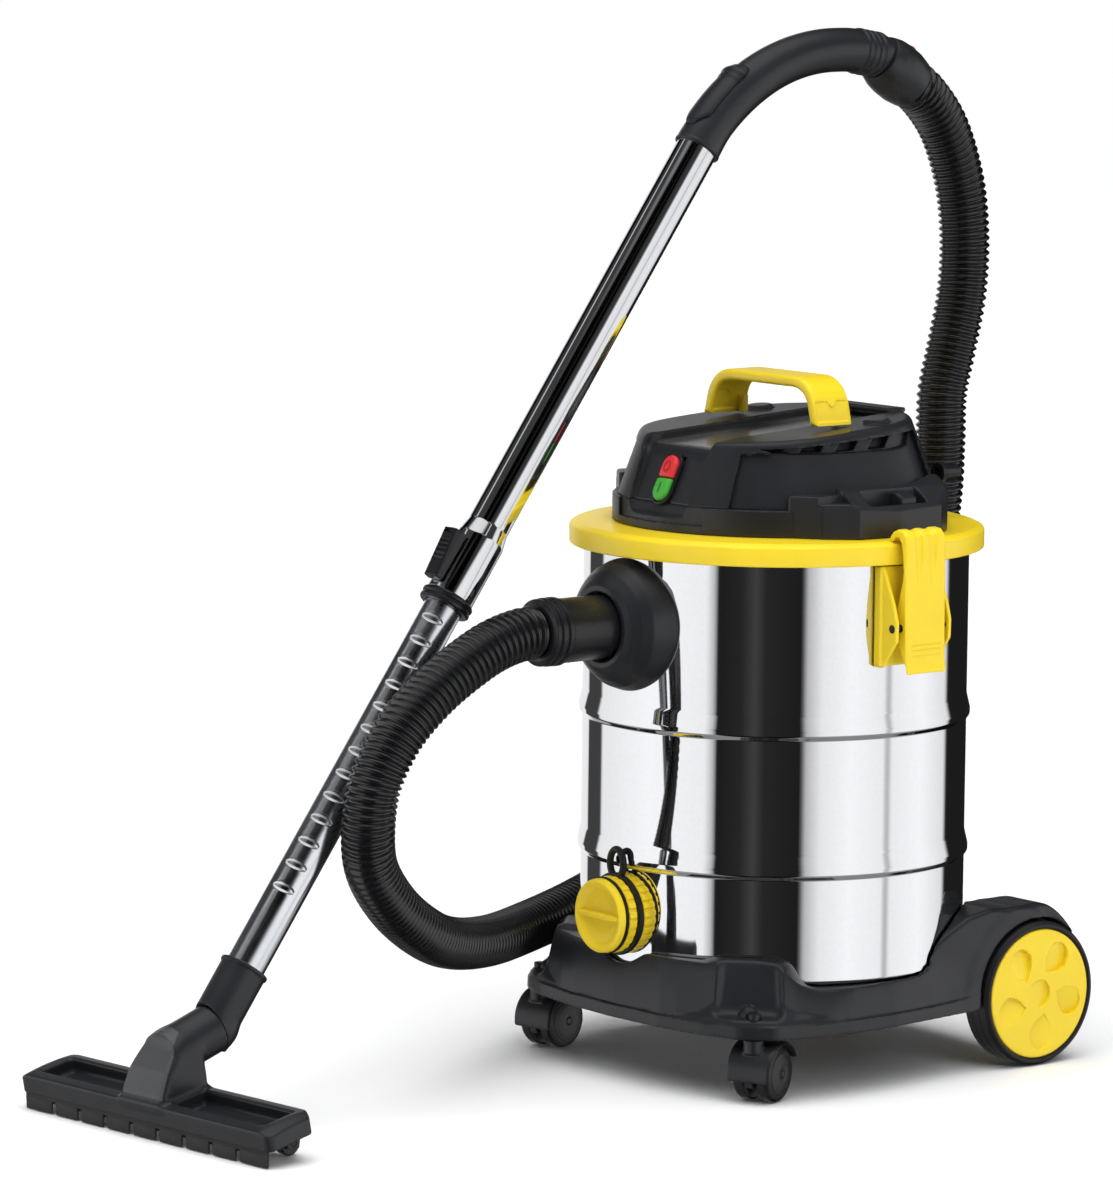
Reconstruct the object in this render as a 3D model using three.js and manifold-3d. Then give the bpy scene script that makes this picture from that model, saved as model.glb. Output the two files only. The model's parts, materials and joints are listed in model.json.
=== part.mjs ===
// Shop vacuum: stainless tank on a wheeled dolly, motor head with lid ring,
// hose, bent hand grip, telescopic wand and floor nozzle.
// Millimetres, +Z up, -Y is the front (switch, hose inlet, drain), +X is the
// right-hand side. Solids are laid out around the tank's axis at the floor and
// the whole group is then moved so that its origin is the centre of its
// footprint on the floor.
import * as THREE from "three";
import { mergeVertices } from "three/addons/utils/BufferGeometryUtils.js";
import Module from "manifold-3d";

const wasm = await Module();
wasm.setup();

// ---------------------------------------------------------------- dimensions
const FACETS = 0.6;              // how finely round faces are divided
const q = (n) => 4 * Math.max(2, Math.round((n * FACETS) / 4));

const TANK_R = 165;              // tank outside radius
const TANK_WALL = 1.2;
const TANK_Z0 = 88, TANK_Z1 = 454;
const BEADS = [[184, 10], [302, 10]];   // lower edge of each rolled bead, bead height
const BEAD_OUT = 3.2;

const RIM_R = 177.5;             // lid ring outside radius
const RIM_Z0 = 447, RIM_Z1 = 464, RIM_TOP = 467.5;

const HEAD_R = 141, HEAD_Z0 = 467.8, HEAD_Z1 = 490;
const COVER_R0 = 137.5, COVER_R1 = 117, COVER_Z0 = 490.3;
const COVER_FRONT_Z = 543, COVER_BACK_Z = 560;
const PANEL = { y: -120, z: 508.5, lean: 26 * Math.PI / 180 };   // raked switch panel

const WHEEL = { x0: 138, x1: 168, y: 162, z: 62.5, r: 62.5, hub: 56 };
const AXLE_R = 5;
const CASTER = { x: 143, y: -140, r: 24, trail: 16, z: 24 };
const CASTER_YAW = { left: 11, right: 22 };     // degrees from straight ahead

const INLET_Z = 389, DRAIN_Z = 143;

const WAND_X = -47;                              // plane of the wand and grip
const WAND_TOP = [-54.0, 784.8];                 // y, z where the wand meets the grip
const WAND_FOOT = [-525.1, 128.9];               // y, z of the nozzle sleeve's mouth
const UPPER_R = 18, UPPER_FLARE_R = 20.8, LOWER_R = 16.5;
const GRIP_R = 19, GRIP_ARC_R = 189.7, GRIP_ARC_C = [100.3, 674.8];
const CUFF_A = [150.6, 856.9], CUFF_B = [188.2, 833.1];   // y, z of the hose end cuff's axis

const NOZ = { x: -47, y: -603, yaw: 4.6, len: 317, depth: 54, high: 18, tilt: 11.5 };
const SEAM = [-558.4, 81.8];                     // y, z of the nozzle's swivel seam
const NECK_DIR = [0.937, 0.349];

const HOSE_R = 22.5, HOSE_BORE = 20;
const HOSE_PATH = [
  [0, -262.7, 389], [0, -276, 389], [0, -306, 382], [0, -340, 366], [0, -374, 344.5],
  [0, -407, 314], [0, -430, 274], [-6, -431, 236], [-17.6, -419, 205], [-40, -380, 166],
  [-71, -321.5, 131], [-104, -267, 112], [-138, -203, 102], [-172, -136, 101], [-202, -52, 110],
  [-210, 10, 128], [-204, 67, 156], [-184, 119, 192], [-151, 163, 236], [-115, 195, 287],
  [-84, 217, 345], [-62, 229, 408], [-51, 231, 468], [-47, 230, 520], [-47, 231, 560],
  [-47, 241, 600], [-47, 252, 648], [-47, 254, 700], [-47, 246, 750], [-47, 225, 798],
  [-47, 199, 826.2], [-47, 188.55, 832.88],
];

// ------------------------------------------------------------------- helpers
function clean(geo) {
  let g = geo.index ? geo.clone() : geo.clone();
  for (const k of Object.keys(g.attributes)) if (k !== "position") g.deleteAttribute(k);
  g.clearGroups();
  g = mergeVertices(g, 1e-4);
  const p = g.attributes.position, ix = g.index.array, out = [];
  const a = new THREE.Vector3(), b = new THREE.Vector3(), c = new THREE.Vector3();
  let vol = 0;
  for (let i = 0; i < ix.length; i += 3) {
    const [i0, i1, i2] = [ix[i], ix[i + 1], ix[i + 2]];
    if (i0 === i1 || i1 === i2 || i0 === i2) continue;
    out.push(i0, i1, i2);
    a.fromBufferAttribute(p, i0); b.fromBufferAttribute(p, i1); c.fromBufferAttribute(p, i2);
    vol += a.dot(b.cross(c));
  }
  if (vol < 0) for (let i = 0; i < out.length; i += 3) [out[i + 1], out[i + 2]] = [out[i + 2], out[i + 1]];
  const r = new THREE.BufferGeometry();
  r.setAttribute("position", new THREE.BufferAttribute(new Float32Array(p.array), 3));
  r.setIndex(out);
  return r;
}
function solid(geo) {
  const g = clean(geo);
  return new wasm.Manifold(new wasm.Mesh({
    numProp: 3, vertProperties: g.attributes.position.array, triVerts: new Uint32Array(g.index.array),
  }));
}
function geometry(man) {
  const m = man.getMesh(), g = new THREE.BufferGeometry();
  g.setAttribute("position", new THREE.BufferAttribute(new Float32Array(m.vertProperties), 3));
  g.setIndex(Array.from(m.triVerts));
  return g;
}
function combine(base, adds = [], cuts = []) {
  let m = solid(base);
  for (const a of adds) m = m.add(solid(a));
  for (const c of cuts) m = m.subtract(solid(c));
  return geometry(m);
}
// solid of revolution about +Z from [r, z] pairs; closes on itself unless both ends are on the axis
function lathe(pts, seg = 40) {
  const p = pts.map(([r, z]) => new THREE.Vector2(r, z));
  if (!(pts[0][0] === 0 && pts[pts.length - 1][0] === 0)) p.push(p[0].clone());
  return new THREE.LatheGeometry(p, q(seg)).rotateX(Math.PI / 2);
}
const cyl = (r, h, seg = 24, r2 = r) => new THREE.CylinderGeometry(r2, r, h, q(seg)).rotateX(Math.PI / 2);
const box = (w, d, h, x = 0, y = 0, z = 0) => new THREE.BoxGeometry(w, d, h).translate(x, y, z);
// turns a +Z solid so that +Z points along (x, y, z)
function aim(geo, dir) {
  const q = new THREE.Quaternion().setFromUnitVectors(new THREE.Vector3(0, 0, 1), new THREE.Vector3(...dir).normalize());
  return geo.applyQuaternion(q);
}
const deg = (d) => (d * Math.PI) / 180;
function ngon(outline) {
  const s = new THREE.Shape();
  outline.forEach(([x, y], i) => (i ? s.lineTo(x, y) : s.moveTo(x, y)));
  s.closePath();
  return s;
}
const prism = (outline, depth) => new THREE.ExtrudeGeometry(ngon(outline), { depth, bevelEnabled: false });
function ring(r, n, hole = 0) {
  const s = new THREE.Shape();
  for (let i = 0; i < n; i++) {
    const a = (2 * Math.PI * i) / n;
    i ? s.lineTo(r * Math.cos(a), r * Math.sin(a)) : s.moveTo(r, 0);
  }
  s.closePath();
  if (hole) {
    const h = new THREE.Path();
    for (let i = 0; i < n; i++) {
      const a = (-2 * Math.PI * i) / n;
      i ? h.lineTo(hole * Math.cos(a), hole * Math.sin(a)) : h.moveTo(hole, 0);
    }
    h.closePath();
    s.holes.push(h);
  }
  return s;
}
const sweep = (curve, r, hole, sides, steps) =>
  new THREE.ExtrudeGeometry(ring(r, sides, hole), { steps, bevelEnabled: false, extrudePath: curve });
// closed skin through rings of points around the Z axis; the first and last ring shrink to a point
function loft(rings) {
  const n = rings[0].length, pos = [], idx = [];
  for (const r of rings) for (const v of r) pos.push(...v);
  for (let k = 0; k + 1 < rings.length; k++)
    for (let i = 0; i < n; i++) {
      const j = (i + 1) % n, a = k * n + i, b = k * n + j, c = (k + 1) * n + i, d = (k + 1) * n + j;
      idx.push(a, b, d, a, d, c);
    }
  const g = new THREE.BufferGeometry();
  g.setAttribute("position", new THREE.BufferAttribute(new Float32Array(pos), 3));
  g.setIndex(idx);
  return g;
}
const polar = (n, f) => Array.from({ length: n }, (_, i) => {
  const t = (2 * Math.PI * i) / n, [r, z] = f(t);
  return [r * Math.sin(t), -r * Math.cos(t), z];
});

const model = new THREE.Group();
function add(name, geo, colour, roughness = 0.5, metalness = 0, parent = model) {
  const mesh = new THREE.Mesh(clean(geo), new THREE.MeshStandardMaterial({ color: colour, roughness, metalness }));
  mesh.name = name;
  parent.add(mesh);
  return mesh;
}
const BLACK = 0x2b2d30, DARK = 0x1a1b1d, YELLOW = 0xf3d52c, STEEL = 0xcfd2d6, RED = 0xd23b3b, GREEN = 0x57b457;

// ---------------------------------------------------------------------- dolly
const OUTLINE = [
  [0, -178], [60, -176], [108, -166], [138, -150], [158, -127], [170, -100], [176, -62], [176, -10],
  [171, 36], [163, 90], [150, 130], [124, 176], [84, 198], [0, 206],
];
const full = [...OUTLINE, ...OUTLINE.slice(1, -1).reverse().map(([x, y]) => [-x, y])];
function edge(t) {                     // distance from the axis to the outline at angle t
  const dx = Math.sin(t), dy = -Math.cos(t);
  let best = 0;
  for (let i = 0; i < full.length; i++) {
    const [ax, ay] = full[i], [bx, by] = full[(i + 1) % full.length];
    const ex = bx - ax, ey = by - ay, den = dx * ey - dy * ex;
    if (Math.abs(den) < 1e-9) continue;
    const s = (ax * ey - ay * ex) / den, u = (ax * dy - ay * dx) / den;
    if (s > 0 && u >= -1e-9 && u <= 1 + 1e-9) best = Math.max(best, s);
  }
  return best;
}
const smooth = (a, b, x) => { const u = Math.min(1, Math.max(0, (x - a) / (b - a))); return u * u * (3 - 2 * u); };
function lip(t) {                      // height of the rim around the tank
  const a = Math.abs(((t + Math.PI) % (2 * Math.PI)) - Math.PI) * 180 / Math.PI;
  return 113 - 21 * smooth(44, 62, a) + 10 * smooth(100, 135, a);
}
const shelf = (t) => 173 + 0.45 * Math.max(0, edge(t) - 178);
const N_DOLLY = 56;
let dolly = combine(
  loft([
    polar(N_DOLLY, () => [0, 87.7]),
    polar(N_DOLLY, () => [TANK_R - 4, 87.7]),
    polar(N_DOLLY, (t) => [TANK_R - 4, lip(t)]),
    polar(N_DOLLY, (t) => [Math.min(shelf(t), edge(t) - 3), lip(t) - 1]),
    polar(N_DOLLY, (t) => [Math.min(shelf(t) + 9, edge(t) - 2), 84]),
    polar(N_DOLLY, (t) => [edge(t) - 2, 67]),
    polar(N_DOLLY, (t) => [edge(t), 65]),
    polar(N_DOLLY, (t) => [edge(t), 56]),
    polar(N_DOLLY, (t) => [edge(t) - 2, 55]),
    polar(N_DOLLY, (t) => [edge(t) - 5, 55]),
    polar(N_DOLLY, (t) => [edge(t) - 6, 62]),
    polar(N_DOLLY, () => [150, 78]),
    polar(N_DOLLY, () => [0, 78]),
  ]),
);
// wheel fenders, swept up from the low sides
const FENDER = [[-44, 64], [-44, 87], [-20, 90], [4, 96], [36, 110], [56, 124], [76, 135], [100, 140.5],
  [140, 140.5], [168, 136.5], [200, 122], [222, 100], [232, 75], [232, 62], [100, 58]];
const wheelAxis = (r, x0, x1, seg = 40) =>
  cyl(r, x1 - x0, seg).rotateY(Math.PI / 2).translate((x0 + x1) / 2, WHEEL.y, WHEEL.z);
const adds = [], cuts = [];
for (const s of [1, -1]) {
  const f = prism(FENDER, 47).applyMatrix4(new THREE.Matrix4().makeBasis(
    new THREE.Vector3(0, 1, 0), new THREE.Vector3(0, 0, 1), new THREE.Vector3(1, 0, 0)));
  adds.push(f.translate(s > 0 ? 115 : -162, 0, 0));
  const far = s > 0 ? [WHEEL.x0 - 2, 200] : [-200, -WHEEL.x0 + 2];
  cuts.push(wheelAxis(WHEEL.r + 3, ...far));
  cuts.push(box(60, 200, 40, s * 190, WHEEL.y + 40, 35));
  // caster socket
  adds.push(cyl(13, 24, 20).translate(s * CASTER.x, CASTER.y, 68));
  cuts.push(cyl(5.8, 30, 20).translate(s * CASTER.x, CASTER.y, 65));
}
cuts.push(cyl(TANK_R + 1.2, 80, 60).translate(0, 0, 127.7));        // room for the tank
cuts.push(cyl(43, 80, 28).rotateX(Math.PI / 2).translate(0, -170, DRAIN_Z + 1));     // notch under the drain
cuts.push(wheelAxis(AXLE_R + 0.4, -200, 200, 20));                                   // axle bore
dolly = combine(dolly, adds, cuts);
add("dolly_base", dolly, BLACK, 0.55);
add("rear_axle", wheelAxis(AXLE_R, -WHEEL.x1 + 6, WHEEL.x1 - 6, 16), 0x9a9da2, 0.35, 1);

for (const [side, s] of [["right", 1], ["left", -1]]) {
  const w = WHEEL.x1 - WHEEL.x0, put = (g) => g.rotateY(s * Math.PI / 2).translate(s * (WHEEL.x0 + w / 2), WHEEL.y, WHEEL.z);
  const h = w / 2;
  add(`rear_tyre_${side}`, put(lathe([[WHEEL.hub + 0.3, -h + 1], [WHEEL.hub + 0.3, h - 1], [WHEEL.hub + 2, h],
    [WHEEL.r - 2.5, h], [WHEEL.r, h - 3.5], [WHEEL.r, -h + 3.5], [WHEEL.r - 2.5, -h], [WHEEL.hub + 2, -h]], 48)), DARK, 0.7);
  add(`rear_hub_${side}`, put(combine(lathe([[AXLE_R + 0.4, -h + 2], [AXLE_R + 0.4, h - 4.5], [WHEEL.hub - 3, h - 0.4],
    [WHEEL.hub, h - 2], [WHEEL.hub, -h + 2], [WHEEL.hub - 4, -h + 2], [WHEEL.hub - 4, h - 8], [14, h - 10], [14, -h + 2]], 48),
    [cyl(13, 2.6, 24).translate(0, 0, h - 4.2)])), YELLOW, 0.4);
}

// -------------------------------------------------------------------- casters
for (const [side, s] of [["left", -1], ["right", 1]]) {
  const g = new THREE.Group();
  g.position.set(s * CASTER.x, CASTER.y, 0);
  g.rotation.z = deg(CASTER_YAW[side]);
  model.add(g);
  const ax = (geo, x = 0) => geo.rotateY(Math.PI / 2).translate(x, CASTER.trail, CASTER.z);
  // hood: an open shell over the front and top of both wheels, with its stem and axle
  const arc = [];
  for (let i = 0; i <= 8; i++) { const a = deg(-98 + (172 * i) / 8); arc.push([27.2 * Math.sin(a), 27.2 * Math.cos(a)]); }
  for (let i = 8; i >= 0; i--) { const a = deg(-98 + (172 * i) / 8); arc.push([25.2 * Math.sin(a), 25.2 * Math.cos(a)]); }
  const hood = prism(arc, 42).translate(0, 0, -21).applyMatrix4(new THREE.Matrix4().makeBasis(
    new THREE.Vector3(0, 1, 0), new THREE.Vector3(0, 0, 1), new THREE.Vector3(1, 0, 0))).translate(0, CASTER.trail, CASTER.z);
  const boss = combine(cyl(9, 12, 20).translate(0, 0, 48.5), [], [ax(cyl(25.4, 50, 28))]);
  const web = combine(ax(cyl(26, 7, 28)), [], [box(60, 60, 60, 0, CASTER.trail, CASTER.z - 34)]);
  const body = combine(hood, [boss, web, ax(cyl(3, 40, 16)), cyl(5.5, 23, 18).translate(0, 0, 64)]);
  add(`caster_fork_${side}`, body, BLACK, 0.6, 0, g);
  for (const [tag, k] of [["inner", -1], ["outer", 1]]) {
    const wheel = lathe([[3.2, -7], [3.2, 7], [17, 7.4], [20, 7], [CASTER.r, 4.5], [CASTER.r, -5], [22, -7]], 32);
    add(`caster_wheel_${side}_${tag}`, ax(wheel, 11.8 * k), DARK, 0.5, 0, g);
  }
}

// ----------------------------------------------------------------------- tank
const outer = [[TANK_R - 6, TANK_Z0], [TANK_R - 1.5, TANK_Z0 + 2], [TANK_R, TANK_Z0 + 6]];
for (const [z, h] of BEADS) outer.push([TANK_R, z], [TANK_R + BEAD_OUT, z + 0.32 * h], [TANK_R + BEAD_OUT, z + 0.6 * h], [TANK_R, z + h + 6]);
outer.push([TANK_R, TANK_Z1 - 3], [TANK_R + 2.6, TANK_Z1 - 2], [TANK_R + 2.6, TANK_Z1]);
const inner = [[TANK_R - TANK_WALL, TANK_Z1], [TANK_R - TANK_WALL, TANK_Z0 + 7], [TANK_R - 7, TANK_Z0 + 1.4], [0, TANK_Z0 + 1.4]];
let tank = lathe([[0, TANK_Z0], ...outer, ...inner], 48);
const front = (g) => aim(g, [0, -1, 0]);
tank = combine(tank, [], [
  front(cyl(28, 60, 28)).translate(0, -165, INLET_Z),
  front(cyl(22.3, 60, 24)).translate(0, -165, DRAIN_Z),
]);
add("tank", tank, STEEL, 0.12, 1);
const tankClear = cyl(TANK_R + 0.35, 380, 48).translate(0, 0, 280);

// hose inlet: bell flange on the tank, the hose cuff in it and a deflector inside
const y0 = -(TANK_R - 16);
const bell = combine(front(lathe([[31, 8], [56, 8], [56.5, 12], [55.5, 19], [52, 28], [46, 37], [39.5, 43], [34, 45.5],
  [31.5, 46], [28.2, 44.5], [28.2, 30], [28.2, 8]], 40)).translate(0, y0, INLET_Z), [], [tankClear]);
add("inlet_flange", bell, BLACK, 0.45);
add("inlet_deflector", combine(front(lathe([[24.2, -34], [27.6, -34], [27.6, 15.6], [33, 15.6], [33, 17], [24.2, 17]].map(([r, z]) => [r, z]), 28)).translate(0, -(TANK_R - 0) + 14, INLET_Z),
  [], [box(80, 60, 80, 0, -190.2, INLET_Z), box(60, 22, 40, 0, -124, INLET_Z - 22)]), BLACK, 0.6);
add("hose_cuff_inlet", front(lathe([[20.3, 24], [27.3, 24], [27.3, 40], [27.3, 58], [27.3, 79], [28.8, 80], [28.8, 84], [27.4, 85.5], [28.6, 87],
  [28.6, 91], [27.2, 92.5], [28, 94], [28, 97], [24, 98.6], [20.3, 98.6]], 32)).translate(0, -163.7, INLET_Z), BLACK, 0.4);

// drain: threaded spout with a ribbed flange, strap ring, screw cap and its seal
const dr = (g) => front(g).translate(0, 0, DRAIN_Z);
add("drain_spout", combine(dr(lathe([[17, 140], [21.5, 140], [21.5, 160], [33.5, 160], [33.5, 169.5], [22, 169.5], [22, 186], [17, 186]], 32)),
  [], [tankClear]), YELLOW, 0.45);
add("drain_strap", combine(dr(lathe([[22.4, 170], [34.2, 170], [35, 171.5], [35, 173.5], [34.2, 175], [22.4, 175]], 32)),
  [new THREE.TorusGeometry(13, 2.2, 6, 16).rotateX(Math.PI / 2).scale(0.9, 1, 1.5).translate(0, -172.5, DRAIN_Z + 47)]), DARK, 0.6);
add("drain_cap_seal", dr(lathe([[30.4, 184.4], [32.6, 184.4], [32.6, 187], [30.4, 187]], 32)), DARK, 0.6);
add("drain_cap", combine(dr(lathe([[0, 187.6], [22, 187.6], [26, 190], [27.5, 193.4], [29.5, 194], [31, 192.5], [31.6, 187.6], [30, 187.4],
  [30, 184], [32.6, 183.6], [32.6, 175.6], [22.6, 175.6], [22.6, 186.6], [0, 186.6]], 36)), [box(50, 6, 4.5, 0, -190.5, DRAIN_Z)]), YELLOW, 0.4);

// ----------------------------------------------------------------- motor head
const SCREWS = [["front_left", -90, -90], ["front_right", 90, -90], ["rear_left", -90, 90], ["rear_right", 90, 90]];
const screwHoles = () => SCREWS.map(([, x, y]) => cyl(2.4, 30, 12).translate(x, y, RIM_TOP));
add("lid_ring", combine(lathe([[118, RIM_TOP - 5], [118, RIM_TOP], [146, RIM_TOP], [172, RIM_Z1 + 1.2], [176, RIM_Z1 - 0.8], [RIM_R, RIM_Z1 - 4],
  [RIM_R, RIM_Z0 + 2.5], [RIM_R - 2, RIM_Z0], [RIM_R - 5, RIM_Z0], [RIM_R - 5, RIM_TOP - 8], [150, RIM_TOP - 8], [150, RIM_TOP - 5]], 60),
  [], screwHoles()), YELLOW, 0.42);
add("lid_gasket", lathe([[160.5, TANK_Z1 + 0.3], [170.5, TANK_Z1 + 0.3], [170.5, RIM_TOP - 8.3], [160.5, RIM_TOP - 8.3]], 48), DARK, 0.8);
// motor housing: flange and belt over the lid ring, with a bowl that hangs into the tank
// shoulder on each side: a segment standing out from the belt, with a sloping top and a pocket in it
const SHOULDER = [[112, -84], [136, -67], [154, -40], [158.5, 0], [156, 48], [142, 68], [112, 84]];
const SHOULDER_SIDE = [[126.4, HEAD_Z0], [159.6, HEAD_Z0], [159.6, 489], [136, 506], [126.4, 508]];
const sideBlock = (s) => {
  const plan = solid(prism(SHOULDER, 60).translate(0, 0, HEAD_Z0 - 5));
  const rise = solid(prism(SHOULDER_SIDE, 160).applyMatrix4(new THREE.Matrix4().makeBasis(
    new THREE.Vector3(1, 0, 0), new THREE.Vector3(0, 0, 1), new THREE.Vector3(0, -1, 0))).translate(0, 82, 0));
  const g = geometry(plan.intersect(rise));
  return s > 0 ? g : g.scale(-1, 1, 1);
};
const housing = combine(
  lathe([[24, 395], [113, 395], [114, 398], [114, HEAD_Z0], [HEAD_R, HEAD_Z0], [HEAD_R, HEAD_Z0 + 4], [HEAD_R - 1.5, HEAD_Z1],
    [HEAD_R - 6, HEAD_Z1], [HEAD_R - 6, HEAD_Z0 + 4], [110.5, HEAD_Z0 + 4], [110.5, 399], [24, 399]], 56),
  [sideBlock(1), sideBlock(-1)],
  [box(17, 62, 40, 143.5, 4, 499), box(17, 62, 40, -143.5, 4, 499), ...screwHoles()]);
add("motor_housing", housing, BLACK, 0.5);

const slope = (y) => COVER_FRONT_Z + ((y + 117) / 234) * (COVER_BACK_Z - COVER_FRONT_Z);
const wallTop = (t) => COVER_R1 - 5 * Math.pow(Math.abs(Math.cos(t)), 8);
const cone = (n, d, zb, lid) => loft([
  polar(n, () => [0, zb]), polar(n, () => [COVER_R0 - d, zb]), polar(n, () => [COVER_R0 - d, zb + 4]),
  polar(n, (t) => { const r = wallTop(t) - d; return [r + 2.5, slope(-r * Math.cos(t)) - 5 - lid]; }),
  polar(n, (t) => { const r = wallTop(t) - d - 3.5; return [r, slope(-r * Math.cos(t)) - lid]; }),
  polar(n, () => [0, slope(0) - lid]),
]);
const TILT = Math.atan((COVER_BACK_Z - COVER_FRONT_Z) / 234);
const coverCuts = [cone(36, 4, COVER_Z0 - 0.02, 13)];
// sunken top panel between the two rails
coverCuts.push(box(112, 260, 30, 0, -28, 15).rotateX(TILT).translate(0, 0, slope(0) - 8));
// raked switch panel between the two cheeks
coverCuts.push(box(76, 30, 90, 0, -15, 0).rotateX(-PANEL.lean).translate(0, PANEL.y, PANEL.z));
for (const s of [1, -1]) {
  coverCuts.push(box(46, 178, 52, s * 149, 20, 510).rotateZ(0));                     // flat sides over the blocks
  for (let i = 0; i < 4; i++) coverCuts.push(box(40, 24, 9, s * 122, -44 + 34 * i, slope(-44 + 34 * i) - 17)); // louvres
}
const cover = combine(cone(36, 0, COVER_Z0, 0), [], coverCuts);
// inner skin behind the raked panel keeps the cover closed
const panel = combine(box(84, 4, 62, 0, 2, 0).rotateX(-PANEL.lean).translate(0, PANEL.y, PANEL.z), [], [
  box(200, 80, 30, 0, -120, COVER_Z0 - 15)]);
add("top_cover", combine(geometry(solid(cover)), [panel], [
  new THREE.ExtrudeGeometry(slotShape(10.2, 21.2), { depth: 60, bevelEnabled: false }).translate(0, 0, -30)
    .rotateX(Math.PI / 2 - PANEL.lean).translate(0, PANEL.y, PANEL.z)]), BLACK, 0.45);

function slotShape(r, h) {               // upright oval: half-width r, half-height h
  const s = new THREE.Shape();
  s.absarc(0, h - r, r, 0, Math.PI, false);
  s.absarc(0, -(h - r), r, Math.PI, 2 * Math.PI, false);
  s.closePath();
  return s;
}
const onPanel = (g) => g.rotateX(Math.PI / 2 - PANEL.lean).translate(0, PANEL.y, PANEL.z);
const bezelShape = slotShape(12.5, 23.5);
const hole = new THREE.Path();
hole.absarc(0, 21 - 9.6, 9.6, 0, Math.PI, false);
hole.absarc(0, -(21 - 9.6), 9.6, Math.PI, 2 * Math.PI, false);
hole.closePath();
bezelShape.holes.push(hole);
add("switch_bezel", onPanel(new THREE.ExtrudeGeometry(bezelShape, { depth: 4, bevelEnabled: false, curveSegments: 6 }).translate(0, 0, 0.3)), DARK, 0.4);
function halfButton(up) {
  const s = new THREE.Shape(), r = 9.1, h = 20.5, g = 0.35;
  if (up) { s.moveTo(-r, g); s.lineTo(r, g); s.absarc(0, h - r, r, 0, Math.PI, false); }
  else { s.moveTo(r, -g); s.lineTo(-r, -g); s.absarc(0, -(h - r), r, Math.PI, 2 * Math.PI, false); }
  s.closePath();
  return onPanel(new THREE.ExtrudeGeometry(s, { depth: 12, bevelEnabled: true, bevelThickness: 1.6, bevelSize: 1.4, bevelOffset: -1.4, bevelSegments: 1, curveSegments: 5 }).translate(0, 0, -5));
}
add("button_off", halfButton(true), RED, 0.4);
add("button_on", halfButton(false), GREEN, 0.4);

// carry handle: a strap over the head from side to side
const strap = new THREE.Shape();
strap.moveTo(-74, 0); strap.lineTo(-70, 18); strap.quadraticCurveTo(-64, 38.5, -44, 40);
strap.lineTo(44, 40); strap.quadraticCurveTo(64, 38.5, 70, 18); strap.lineTo(74, 0);
strap.lineTo(66, 0); strap.lineTo(61, 17); strap.quadraticCurveTo(57, 30, 40, 31);
strap.lineTo(-40, 31); strap.quadraticCurveTo(-57, 30, -61, 17); strap.lineTo(-66, 0); strap.closePath();
const HANDLE_Z = slope(4) + 0.5;
add("carry_handle", new THREE.ExtrudeGeometry(strap, { depth: 38, bevelEnabled: true, bevelThickness: 2, bevelSize: 1.2, bevelOffset: -1.2, bevelSegments: 1, curveSegments: 7 })
  .rotateX(Math.PI / 2).translate(0, 18, HANDLE_Z + 1.9), YELLOW, 0.4);

// inside the head: motor, impeller, filter cage, float, filter sleeve
add("vacuum_motor", lathe([[22, 399.3], [69, 399.3], [70, 401], [70, 440], [48, 443], [48, 505], [30, 512], [0, 512],
  [0, 500], [5.2, 500], [5.2, 437], [64, 437], [64, 403.5], [22, 403.5]].map(([r, z]) => [r, z]), 36), 0x8b8f96, 0.4, 0.8);
add("impeller", lathe([[0, 409], [58, 409], [58, 411], [30, 412.5], [14, 424], [9, 431], [5, 433], [5, 470], [0, 470]], 32), 0xb9bdc2, 0.35, 1);
const cage = combine(lathe([[30, 394.7], [66, 394.7], [66, 391.5], [60, 391.5], [60, 303], [56, 300], [0, 300], [0, 303], [54, 303], [57, 306], [57, 391.5], [30, 391.5]], 32),
  [], Array.from({ length: 6 }, (_, i) => box(44, 14, 62, 55, 0, 350).rotateZ(deg(30 + 60 * i))));
add("filter_cage", cage, BLACK, 0.6);
add("filter_sleeve", lathe([[61, 306], [80, 306], [80, 391], [61, 391]], 40), 0xe8e6df, 0.9);
add("float_ball", new THREE.SphereGeometry(27, 14, 8).rotateX(Math.PI / 2).translate(0, 0, 330.4), 0xe7e7e4, 0.5);
add("cable_gland", front(lathe([[4.5, 0], [9, 0], [9, 4], [7.5, 6], [6.5, 22], [4.5, 22]], 20)).rotateZ(Math.PI).translate(62, 128.2, 505), DARK, 0.5);
for (const [n, x, y] of SCREWS)
  add(`head_screw_${n}`, combine(cyl(4, 3, 14).translate(x, y, RIM_TOP - 6.8), [cyl(2, 11, 12).translate(x, y, RIM_TOP - 1)]), 0x9a9da2, 0.35, 1);

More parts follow.
